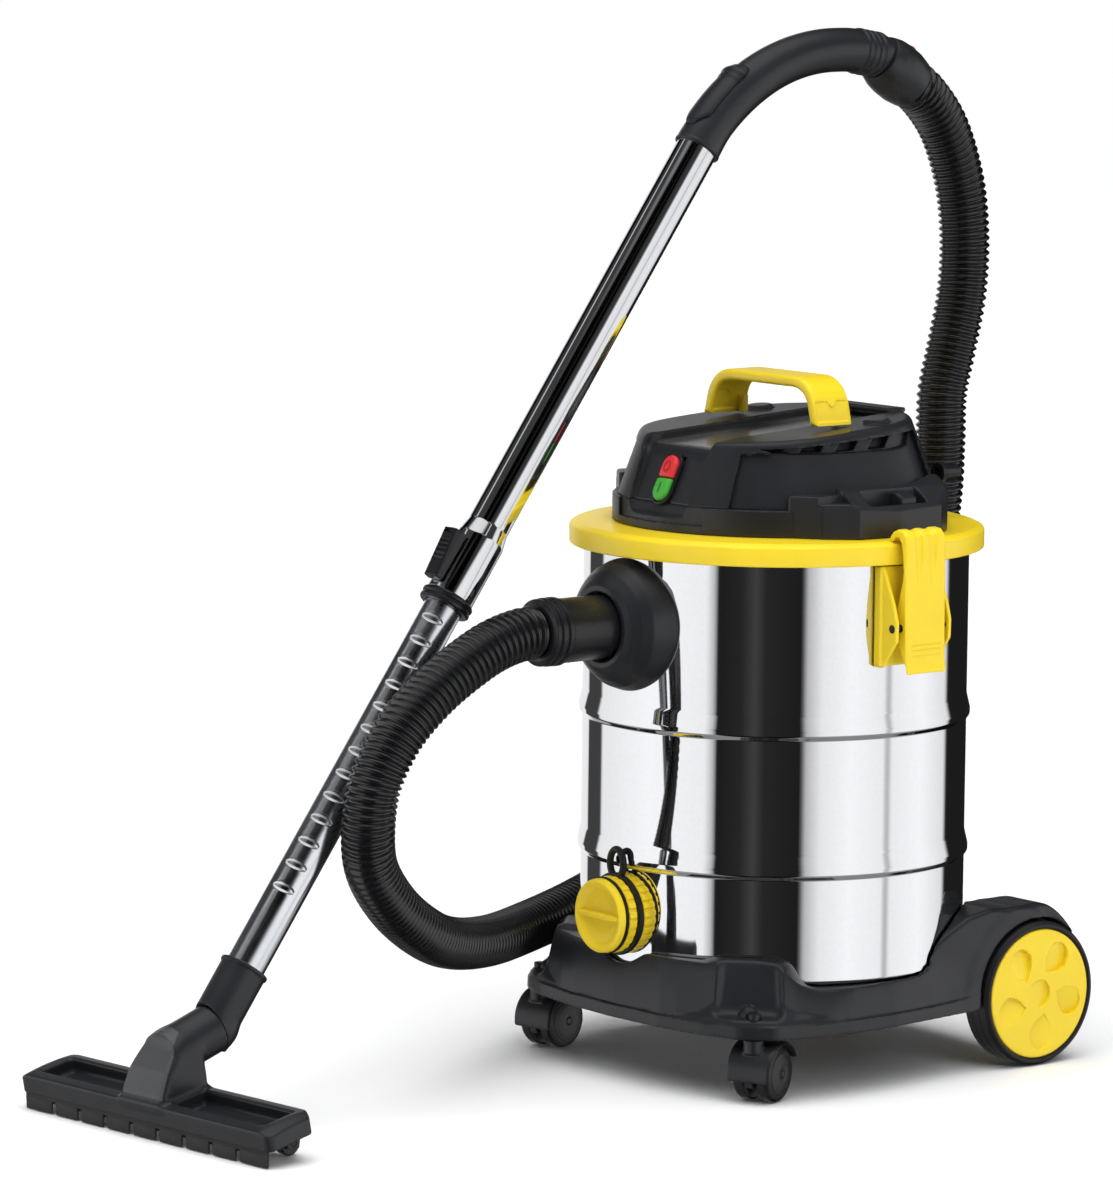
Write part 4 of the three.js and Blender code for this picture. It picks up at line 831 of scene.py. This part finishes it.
# rear wheels
def hub_fn(u, v, w):
    rr = np.sqrt(u * u + v * v)
    b = smax(rr - 55.9, w - 14.6, 2.0)
    b = smax(b, -2.2 * 0 - 13 - w, 1)
    for k in range(5):
        a = rad(72 * k + 56)
        ca, sa = math.cos(a), math.sin(a)
        p, q_ = u * ca + v * sa, -u * sa + v * ca
        head = np.sqrt((p - 37) ** 2 + q_ ** 2) - 11.5
        tail = poly(p, q_, [(18.5, 5), (24, -4.5), (34, -11), (42, 9), (28, 10.5)])
        comma = smin(head, tail, 5)
        b = smax(b, -mx(comma, 9.4 - w + 0.21 * (q_ + 11)), 0.9)
    b = smax(b, -mx(rr - 11.8, 14.7 - w - (u + 11.8) * 0.17), 0.7)
    # open back
    b = mx(b, -mx(mx(rr - 51, 14 - rr), w - 5))
    return mx(b, 5.4 - rr - 400 * (w > 9.6))


for side, s in (("right", 1), ("left", -1)):
    W = frame_of((s, 0, 0), (s * 153, WY, WZ), (0, 1, 0))
    turned(f"tyre_{side}", [(56.3, -14, 0.8), (58, -15, 0.8), (60.2, -15, 2), (62.5, -12.5, 1.6), (62.5, -5, 0.3), (62.1, -4.4, 0.2), (62.1, -3.6, 0.2), (62.5, -3, 0.3), (62.5, 3, 0.3), (62.1, 3.6, 0.2), (62.1, 4.4, 0.2), (62.5, 5, 0.3),
                            (62.5, 11.5, 2), (60.2, 14.8, 2), (57.8, 15, 0.9), (56.3, 13.6, 0.6)], W, M_RUBBER, f"{side}_rear_wheel", f"rear_tyre_{side}", 160)
    sdf(f"hub_{side}", hub_fn, (-57, -57, -14.2), (57, 57, 16), 1.0, M_YELLOW, f"{side}_rear_wheel", f"rear_hub_{side}", M=W, angle=32)

# casters
for side, s, yaw in (("left", -1, 11), ("right", 1, 22)):
    C = np.eye(4); cy_, sy_ = math.cos(rad(yaw)), math.sin(rad(yaw))
    C[:3, 0] = (cy_, sy_, 0); C[:3, 1] = (-sy_, cy_, 0); C[:3, 3] = (s * 143, -140, 0)

    def fork_fn(x, y, z):
        dy, dz = y - 16, z - 24
        rr = np.sqrt(dy * dy + dz * dz)
        b = smax(smax(rr - 27.6, abs(x) - 21.2, 4.5), 25.0 - rr, 0.6)
        b = smax(b, dy * 0.97 - dz * 0.26 - 20, 1.2)
        b = smax(b, -(dz + 5 + 0.5 * mx(0, dy + 10)), 1.2)
        web = smax(mx(rr - 26, abs(x) - 3.6), -(dz + 10), 1)
        boss = smax(np.sqrt(x * x + y * y) - 8.6, abs(z - 48.4) - 6.2, 1.6)
        boss = mx(boss, 25.2 - rr)
        b = smin(mn(b, web), boss, 3.0)
        b = mn(b, mx(np.sqrt(x * x + y * y) - 5.5, abs(z - 64) - 11.6))
        return mn(b, mx(rr - 3.0, abs(x) - 20))
    sdf(f"caster_{side}_hood", fork_fn, (-24, -14, 8), (24, 46, 77), 0.8, M_BLACK, f"{side}_caster", f"caster_fork_{side}", M=C, angle=35)
    for tag, k in (("inner", -1), ("outer", 1)):
        Wm = C @ frame_of((k, 0, 0), (11.8 * k, 16, 24), (0, 1, 0))
        turned(f"caster_{side}_{tag}_disc", [(3.3, -7), (3.3, 7.9, 0.6), (8, 8.1, 1), (13, 7.6, 3), (17.6, 6.6, 0.6), (18.2, 6.0, 0.3), (19, 6.2, 0.4), (22.4, 4.6, 2), (24, 1.8, 2), (24, -5, 1.2), (21.8, -7, 0.8)],
               Wm, M_WHEEL, f"{side}_caster_{tag}_wheel", f"caster_wheel_{side}_{tag}", 72)

# ------------------------------------------------------------- wand and grip
TOP = np.array([-47, -54.0, 784.8]); FOOT = np.array([-47, -525.1, 128.9])
wd = (TOP - FOOT) / np.linalg.norm(TOP - FOOT)
n1 = np.array([0, -wd[2], wd[1]])
WM = frame_of(-wd, TOP, (1, 0, 0))        # z runs down the wand, y is its upper side

turned("upper_tube", [(17.1, 0.3), (18, 0.3), (18, 383, 8), (20.8, 396, 8), (20.8, 451.6, 0.4), (19.6, 452), (19.6, 398), (17.1, 385)], WM, M_CHROME, "grip", "wand_upper_tube", 128, 40, n=8)
turned("wand_ring", [(17.1, 452.3), (22, 452.3, 1), (22.8, 453.4, 0.8), (22.8, 455.6, 0.8), (21.2, 457, 0.8), (22.6, 458.6, 0.8), (22.6, 461, 0.9), (21.4, 462, 0.6), (17.1, 462)], WM, M_BLACK2, "grip", "wand_end_ring", 96)
# lower tube with its row of dimples
Ls = np.r_[np.arange(405, 836, 0.8), 836.0]
seg = 112
tt = np.arange(seg) * 2 * math.pi / seg
rows = []
DIMP = rad(90 - 40)
for L in Ls:
    u = (tt - DIMP + math.pi) % (2 * math.pi) - math.pi
    rr_row = np.full(seg, 16.5)
    for kk in range(13):
        c = 478 + 21.6 * kk
        if abs(L - c) < 5 and c < 800:
            halfL = 3.5 * np.sqrt(mx(0, 1 - (u / rad(34)) ** 2))
            inside = halfL > 0.05
            e = np.where(inside, abs(L - c) / mx(halfL, 0.05), 9)
            rr_row = rr_row - 1.3 * mx(0, 1 - e ** 2) * inside
            ridge = np.exp(-((e - 1.16) / 0.16) ** 2) * inside * 0.12
            rr_row = rr_row + ridge
    rows.append(rr_row)
cents = [(0, 0, L) for L in Ls]
tP, tf = tube(cents, rows, seg, up=(1, 0, 0), caps=False)
nI = len(tP)
iP, if_ = tube([(0, 0, 405), (0, 0, 620), (0, 0, 836)], [15.5, 15.5, 15.5], seg, up=(1, 0, 0), caps=False)
if_ = [f_[::-1] for f_ in if_]
lowP, lowf = join([(tP, tf), (iP, if_)])
nr = len(Ls)
for i in range(seg):
    j = (i + 1) % seg
    lowf.append((i, nI + i, nI + j, j)[::-1]); a0_, b0_ = (nr - 1) * seg, nI + 2 * seg
    lowf.append((a0_ + i, a0_ + j, b0_ + j, b0_ + i)[::-1])
lower = build("lower_tube", put(WM, lowP), lowf, M_TUBE2, "wand_lower", "wand_lower_tube", 40)
lower.data.materials.append(M_DIMPLE)
cen = np.empty(len(lower.data.polygons) * 3); lower.data.polygons.foreach_get("center", cen)
loc = put(np.linalg.inv(WM), cen.reshape(-1, 3) * 1000 - OFF)
ang = (np.arctan2(loc[:, 1], loc[:, 0]) - DIMP + math.pi) % (2 * math.pi) - math.pi
kk = np.clip(np.round((loc[:, 2] - 478) / 21.6), 0, 12)
hl = 3.5 * np.sqrt(mx(0, 1 - (ang / rad(34)) ** 2))
e_ = abs(loc[:, 2] - (478 + 21.6 * kk))
lower.data.polygons.foreach_set("material_index", ((e_ < hl * 0.97) & (np.hypot(loc[:, 0], loc[:, 1]) > 14)).astype(np.int32))


def slider_fn(x, y, z):                   # z down the wand from 403
    t = np.clip(z / 44, 0, 1)
    hgt = 33.6 - 5.0 * t
    hw = 10.4 - 1.6 * t
    b = smax(smax(abs(x) - hw + mx(0, y - 27) * 0.45, y - hgt, 1.2), abs(z - 22) - 22, 1.0)
    b = mx(b, 21.6 - y)
    b = smax(b, -mx(abs(x) - 6.2, mx(abs(z - 3) - 1.4, 30.5 - y)) , 0.6)
    for zc in (12, 16, 20, 24, 28):
        b = smax(b, -mx(abs(z - zc) - 0.7, mx(hgt - 0.9 - y, abs(x) - 6)), 0.4)
    return b


sdf("wand_slider_part", slider_fn, (-12.5, 20.5, -1), (12.5, 35.5, 45), 0.5, M_BLACK2, "wand_slider", "wand_release_slider", M=WM @ np.array([[1, 0, 0, 0], [0, 1, 0, 0], [0, 0, 1, 403.0], [0, 0, 0, 1]]), angle=35)

GC = np.array([100.3, 674.8]); GR = 189.7
a0 = math.atan2(TOP[2] - GC[1], TOP[1] - GC[0])
CA, CB = np.array([-47, 150.6, 856.9]), np.array([-47, 188.2, 833.1])
cd = (CB - CA) / np.linalg.norm(CB - CA)
gpts = [TOP, TOP + wd * 6] + [np.array([-47, GC[0] + GR * math.cos(a0 + (math.pi / 2 - a0) * i / 12), GC[1] + GR * math.sin(a0 + (math.pi / 2 - a0) * i / 12)]) for i in range(1, 13)]
gpts += [np.array([-47, 118, 864.0]), np.array([-47, 135, 861.2]), CA - cd * 4, CA]
gc, gs = catmull(gpts, step=0.75)
gs = gs + 3.2
lead = [TOP - wd * (3.2 - t) for t in (0.0, 0.6, 1.4, 2.4)]
gs = np.r_[[0.0, 0.6, 1.4, 2.4], gs]
gc = np.concatenate([lead, gc])
GL = gs[-1]
grr = []
for p, s_ in zip(gc, gs):
    r_ = 19.0 + 1.0 * (1 - sstep(2, 30, s_))
    r_ += 0.55 * math.exp(-((s_ - 1.8) / 1.2) ** 2) - (0.7 if s_ < 0.3 else 0)
    r_ += 0.4 * math.exp(-((s_ - 70) / 40) ** 2)
    for c in (27, 20.5, 14, 7.5):                      # ribs before the cuff
        r_ += 1.15 * max(0, 1 - (abs(GL - s_ - c) / 2.3) ** 4)
    r_ -= 0.5 * sstep(4, 0, GL - s_)
    grr.append(min(r_, 21.0))
gP, gf = tube(gc, grr, 72, up=(1, 0, 0))
build("grip_part", gP, gf, M_BLACK, "grip", "grip_handle", 42)

# sliding cover of the air hole
K = 46
aP, rings_n = [], 0
aa = np.linspace(0.055, 0.425, K)
secN = 17
for i, f_ in enumerate(aa):
    a = a0 + (math.pi / 2 - a0) * f_
    c = np.array([-47, GC[0] + GR * math.cos(a), GC[1] + GR * math.sin(a)])
    o = np.array([0, math.cos(a), math.sin(a)])
    t = i / (K - 1)
    wdt = rad(17 + 25 * sstep(0.0, 0.22, t) - 6 * sstep(0.9, 1.0, t))
    ro = 22.0 + 2.3 * math.exp(-((t - 0.87) / 0.055) ** 2) + 0.8 * math.exp(-((t - 0.78) / 0.03) ** 2) - 1.4 * (1 - sstep(0, 0.06, t)) - 1.6 * sstep(0.965, 1, t)
    angs = np.linspace(-wdt, wdt, secN)
    prof_o = [(c + o * math.cos(b) * (ro - 0.9 * abs(b / wdt) ** 6) + np.array([math.sin(b), 0, 0]) * (ro - 0.9 * abs(b / wdt) ** 6)) for b in angs]
    prof_i = [(c + o * math.cos(b) * 19.7 + np.array([math.sin(b), 0, 0]) * 19.7) for b in angs[::-1]]
    aP += prof_o + prof_i
aP = np.array(aP); n2 = secN * 2
af = []
for k in range(K - 1):
    for i in range(n2):
        j = (i + 1) % n2
        af.append((k * n2 + i, k * n2 + j, (k + 1) * n2 + j, (k + 1) * n2 + i))
af.append(tuple(range(n2))[::-1]); af.append(tuple(range((K - 1) * n2, K * n2)))
ob = build("air_slider_part", aP, af, M_BLACK, "air_slider", "air_slider", 40)

# hose cuff at the grip and its release button
CM = frame_of(cd, CA, (1, 0, 0))
clen = float(np.linalg.norm(CB - CA))
turned("grip_cuff", [(17, 0.3), (21.2, 0.3, 0.8), (22.4, 3, 3), (24.6, 10, 8), (25.6, 19, 10), (25.5, 31, 8), (24.3, 38, 5), (23.3, clen - 1.5, 1), (22.2, clen, 0.8), (17, clen)], CM, M_BLACK, "machine", "hose_cuff_grip", 96, 42, n=6)
outd = np.array([0, -cd[2], cd[1]])
BM = frame_of(outd, CA + cd * 27, (1, 0, 0))
turned("cuff_button_part", [(0, 22.4), (4.9, 22.4), (4.9, 26.0, 0.8), (3.8, 27.2, 1.2), (1.6, 27.2, 0.6), (0, 26.8)], BM, M_RED, "cuff_button", "hose_release_button", 48)

# ------------------------------------------------------------------ nozzle
SEAM = np.array([-47, -558.4, 81.8])
nd = np.array([0, 0.937, 0.349]); nd /= np.linalg.norm(nd)


def elbow_fn(x, y, z):
    dx, dy, dz = x - SEAM[0], y - SEAM[1], z - SEAM[2]
    # along the wand
    qx, qy, qz = x - TOP[0], y - TOP[1], z - TOP[2]
    L = -(qy * wd[1] + qz * wd[2])
    rad_ = np.sqrt(mx(qx * qx + qy * qy + qz * qz - L * L, 0))
    sl = smax(rad_ - (19.7 + 0.0 * L), abs(L - 842) - 34.4, 0.8)
    lipr = smax(rad_ - 20.9, abs(L - 809.3) - 1.7, 1.0)
    ex, ey, ez = x - (SEAM[0] + 3 * nd[0]), y - (SEAM[1] + 3 * nd[1]), z - (SEAM[2] + 3 * nd[2])
    ball = np.sqrt(ex * ex + ey * ey + ez * ez) - 19.9
    b = smin(sl, ball, 3)
    b = mn(b, lipr)
    along = dx * nd[0] + dy * nd[1] + dz * nd[2]
    b = smax(b, 0.22 - along, 0.4)
    b = mx(b, -mx(rad_ - 16.9, L - 862))
    return b


sdf("nozzle_elbow_part", elbow_fn, (-70, -590, 60), (-24, -500, 162), 0.9, M_BLACK, "wand_lower", "nozzle_elbow", angle=35)
NZ = np.eye(4); cy_, sy_ = math.cos(rad(4.6)), math.sin(rad(4.6))
NZ[:3, 0] = (cy_, sy_, 0); NZ[:3, 1] = (-sy_, cy_, 0); NZ[:3, 3] = (-47, -603, 0)
NZi = np.linalg.inv(NZ)
sl_ = put(NZi, SEAM); nl = NZi[:3, :3] @ nd
ct, st_ = math.cos(rad(11.5)), math.sin(rad(11.5))
NOUT = fillet([(-158.5, -27), (158.5, -27), (156, 20), (143, 27), (-143, 27), (-156, 20)], 7, 4)


def nozzle_fn(x, y, z):
    ax = abs(x)
    yy, zz = y * ct + (z - 27.6) * st_, -y * st_ + (z - 27.6) * ct
    b = smax(poly(x, yy, NOUT), zz - (9.2 - (yy / 27) ** 2 * 1.8 - 4.5 * sstep(146, 160, ax)), 2.2)
    b = smax(b, -(zz + 9), 1.0)
    # deep pockets with a chamfered mouth
    pk = rbox(ax, yy, zz, (84.5, 0.5, 14), (56.0, 16.0, 18.6), 5)
    ch = smax(smax(abs(ax - 84.5) - 58.5 + (9.2 - zz) * 1.0, abs(yy - 0.5) - 18.5 + (9.2 - zz) * 1.0, 4), 5 - zz, 0.5)
    b = smax(b, -mn(pk, ch), 0.8)
    # hump with its shield
    wz = 27.5 * np.sqrt(np.clip(1 - (np.clip(z - 34, 0, 60) / 60) ** 2.2, 0.02, 1))
    hp_ = smax(poly(y, z, HUMP), ax - wz, 7)
    b = smin(b, hp_, 5)
    px, py, pz = x - sl_[0], y - sl_[1], z - sl_[2]
    al = px * nl[0] + py * nl[1] + pz * nl[2]
    ra = np.sqrt(mx(px * px + py * py + pz * pz - al * al, 0))
    nk = smax(ra - 20.5, abs(al + 24) - 24.05, 0.6)
    b = smin(b, nk, 6)
    b = smax(b, -mx(mx(abs(yy) - 19, ax - 145), zz + 6.6), 0.8)
    for k in (1, -1):
        b = mn(b, mx(rbox(ax, y, z, (125 + k * 6.1, 22, 16.5), (1.6, 6.2, 10), 0.6), -mx(np.sqrt((y - 22) ** 2 + (z - 11) ** 2) - 2.7, abs(ax - 125) - 9)))
    return b


HUMP = fillet([(-27.5, 24), (-26, 38), (-19, 56), (-7, 75), (3, 84), (13, 84.5), (22, 62), (24, 34), (10, 24)], 10, 4)
noz = sdf("nozzle_part", nozzle_fn, (-161, -32, 6), (161, 57, 107), 1.05, M_BLACK, "nozzle", "nozzle_body", M=NZ, angle=30)

noz.data.materials.append(M_SHIELD)
cen = np.empty(len(noz.data.polygons) * 3); noz.data.polygons.foreach_get("center", cen); cen = put(NZi, cen.reshape(-1, 3) * 1000 - OFF)
nor = np.empty(len(noz.data.polygons) * 3); noz.data.polygons.foreach_get("normal", nor); nor = nor.reshape(-1, 3) @ NZ[:3, :3]
mi = ((abs(cen[:, 0]) < 27.5 * np.sqrt(np.clip(1 - (np.clip(cen[:, 2] - 34, 0, 60) / 60) ** 2.2, 0, 1)) - 2.5) & (cen[:, 2] > 35) & (nor[:, 1] < -0.35) & (cen[:, 1] < 4)).astype(np.int32)
noz.data.polygons.foreach_set("material_index", mi)

tw = []
xs_ = np.linspace(-150, 150, 10)
for i in range(9):
    a_, b_ = xs_[i] + (3.2 if i else -2.5), xs_[i + 1] - (3.2 if i < 8 else -2.5)
    tw.append(prism(fillet([(a_, 0.3), (b_, 0.3), (b_ + 0.7, 11), (a_ - 0.7, 11)], 0.5, 2), -1.1, 1.1, 0.35, 2))
tw.append(prism(fillet([(-153, 10.4), (153, 10.4), (153, 18), (-153, 18)], 0.8, 2), -1.15, 1.15, 0.3, 2))
sP_, sf_ = join(tw)
sP_ = np.c_[sP_[:, 0], -22.4 - sP_[:, 2], sP_[:, 1]]
wP_, wf_ = prism(fillet([(-142.5, -23), (142.5, -23), (142.5, -12.5), (-142.5, -12.5)], 0.6, 2), 15.4, 18, 0.4, 2)
blP_, blf_ = prism(fillet([(-142.5, -15.4), (142.5, -15.4), (142.5, -12.6), (-142.5, -12.6)], 0.6, 2), 6, 18, 0.4, 2)
sP_, sf_ = join([(sP_, sf_), (wP_, wf_), (blP_, blf_)])
build("nozzle_toothed_strip", put(NZ, sP_), sf_, M_RUBBER, "nozzle", "nozzle_strip", 30)

# ---------------------------------------- CAD pieces that stay, with materials
KEEP = {"rear_axle": M_ZINC, "inlet_deflector": M_BLACK2, "vacuum_motor": M_MOTOR, "impeller": M_MOTOR, "lid_gasket": M_RUBBER,
        "filter_cage": M_BLACK2, "filter_sleeve": M_PAPER, "cable_gland": M_BLACK2, "float_ball": M_FLOAT, 
        "nozzle_wheel_left": M_WHEEL, "nozzle_wheel_right": M_WHEEL, "head_screw_front_left": M_ZINC, "head_screw_front_right": M_ZINC,
        "head_screw_rear_left": M_ZINC, "head_screw_rear_right": M_ZINC}
for ob in list(bpy.data.objects):
    if ob.type == "MESH" and ob.name in KEEP:
        ob.data.materials.clear()
        ob.data.materials.append(KEEP[ob.name])
        ob.data.polygons.foreach_set("use_smooth", np.ones(len(ob.data.polygons), bool))
        ob.data.set_sharp_from_angle(angle=rad(32))

# --------------------------------------------------------------- the studio
mt, nt, bs = new_mat("studio_floor")
tc = nt.nodes.new("ShaderNodeTexCoord")
nz = noise(nt, 3.0, 2, 0.5, tc.outputs["Object"])
cr = ramp(nt, nz.outputs["Fac"], [(0.2, (0.93, 0.935, 0.945)), (0.8, (0.95, 0.952, 0.957))])
nt.links.new(cr.outputs["Color"], bs.inputs["Base Color"])
bs.inputs["Roughness"].default_value = 0.55
bs.inputs["Specular IOR Level"].default_value = 0.25
me = bpy.data.meshes.new("floor")
me.from_pydata([(-9, -9, -0.0006), (9, -9, -0.0006), (9, 9, -0.0006), (-9, 9, -0.0006)], [], [(0, 1, 2, 3)])
floor = bpy.data.objects.new("floor", me)
me.materials.append(mt)
bpy.context.scene.collection.objects.link(floor)
floor.visible_glossy = False

world = bpy.data.worlds.new("studio")
bpy.context.scene.world = world
world.use_nodes = True
wn = world.node_tree
bg = wn.nodes["Background"]
gen = wn.nodes.new("ShaderNodeTexCoord")
sep = wn.nodes.new("ShaderNodeSeparateXYZ")
wn.links.new(gen.outputs["Generated"], sep.inputs[0])
at = wn.nodes.new("ShaderNodeMath"); at.operation = "ARCTAN2"
wn.links.new(sep.outputs["Y"], at.inputs[0]); wn.links.new(sep.outputs["X"], at.inputs[1])
nm = wn.nodes.new("ShaderNodeMath"); nm.operation = "MULTIPLY_ADD"
nm.inputs[1].default_value = 1 / (2 * math.pi); nm.inputs[2].default_value = 0.5
wn.links.new(at.outputs[0], nm.inputs[0])


def stops(items):
    out = []
    for a, v in items:
        out.append(((a + 180) / 360, (v, v, v * 1.01)))
    return out


BK = 0.012
azr = ramp(wn, nm.outputs[0], stops([(-180, 0.05), (-167.5, 0.05), (-165, 0.85), (-120, 1.0), (-82, 0.92), (-77, 0.5), (-74.5, BK), (-60, 0.02), (-52, 0.05), (-46, 0.02), (-24.5, BK), (-21, 0.5), (-12, 0.86), (6, 1.0), (28, 0.9), (30.5, 0.5), (32, 0.5), (34.5, 0.9),
                                     (58, 1.0), (82, 0.78), (86, BK), (138.5, BK), (140.5, 0.9), (171, 0.85), (173, 0.05), (180, 0.05)]))
zr = wn.nodes.new("ShaderNodeMath"); zr.operation = "MULTIPLY_ADD"
zr.inputs[1].default_value = 0.5; zr.inputs[2].default_value = 0.5
wn.links.new(sep.outputs["Z"], zr.inputs[0])
el = ramp(wn, zr.outputs[0], [(0.0, (0.22,) * 3), (0.30, (0.42,) * 3), (0.345, (1.0,) * 3), (0.655, (1.0,) * 3), (0.70, (0.05,) * 3), (0.838, (0.05,) * 3), (0.843, (0.75,) * 3), (0.855, (0.75,) * 3), (0.861, (0.05,) * 3), (1.0, (0.05,) * 3)])
ov = ramp(wn, zr.outputs[0], [(0.0, (0, 0, 0)), (0.90, (0, 0, 0)), (0.935, (0.75,) * 3), (1.0, (0.95,) * 3)])
mul = wn.nodes.new("ShaderNodeMix"); mul.data_type = "RGBA"; mul.blend_type = "MULTIPLY"; mul.inputs[0].default_value = 1.0
wn.links.new(azr.outputs["Color"], mul.inputs[6]); wn.links.new(el.outputs["Color"], mul.inputs[7])
lp = wn.nodes.new("ShaderNodeLightPath")
mix = wn.nodes.new("ShaderNodeMix"); mix.data_type = "RGBA"
wn.links.new(lp.outputs["Is Camera Ray"], mix.inputs[0])
addn = wn.nodes.new("ShaderNodeMix"); addn.data_type = "RGBA"; addn.blend_type = "ADD"; addn.inputs[0].default_value = 1.0
wn.links.new(mul.outputs[2], addn.inputs[6]); wn.links.new(ov.outputs["Color"], addn.inputs[7])
wn.links.new(addn.outputs[2], mix.inputs[6])
mix.inputs[7].default_value = (1.0, 1.0, 1.0, 1)
wn.links.new(mix.outputs[2], bg.inputs["Color"])
bg.inputs["Strength"].default_value = 1.0


def area(name, loc, aim_at, size, power, size_y=None):
    l = bpy.data.lights.new(name, "AREA")
    l.shape = "RECTANGLE"; l.size = size; l.size_y = size_y or size
    l.energy = power
    o = bpy.data.objects.new(name, l)
    d = Vector(F(aim_at)) - Vector(F(loc))
    o.matrix_world = Matrix.Translation(Vector(F(loc))) @ d.to_track_quat("-Z", "Y").to_matrix().to_4x4()
    bpy.context.scene.collection.objects.link(o)
    return o


sun = bpy.data.lights.new("overhead", "SUN")
sun.energy = 3.0
sun.angle = rad(75)
so = bpy.data.objects.new("overhead", sun)
so.matrix_world = Matrix.Rotation(rad(14), 4, "X") @ Matrix.Rotation(rad(8), 4, "Y")
bpy.context.scene.collection.objects.link(so)
so.visible_glossy = False
key = area("key", (2300, -300, 1500), (0, 0, 350), 1.3, 14)
key.visible_glossy = False
sc = bpy.context.scene
sc.view_settings.view_transform = "Standard"
sc.view_settings.look = "None"
sc.view_settings.exposure = 0
sc.view_settings.gamma = 1
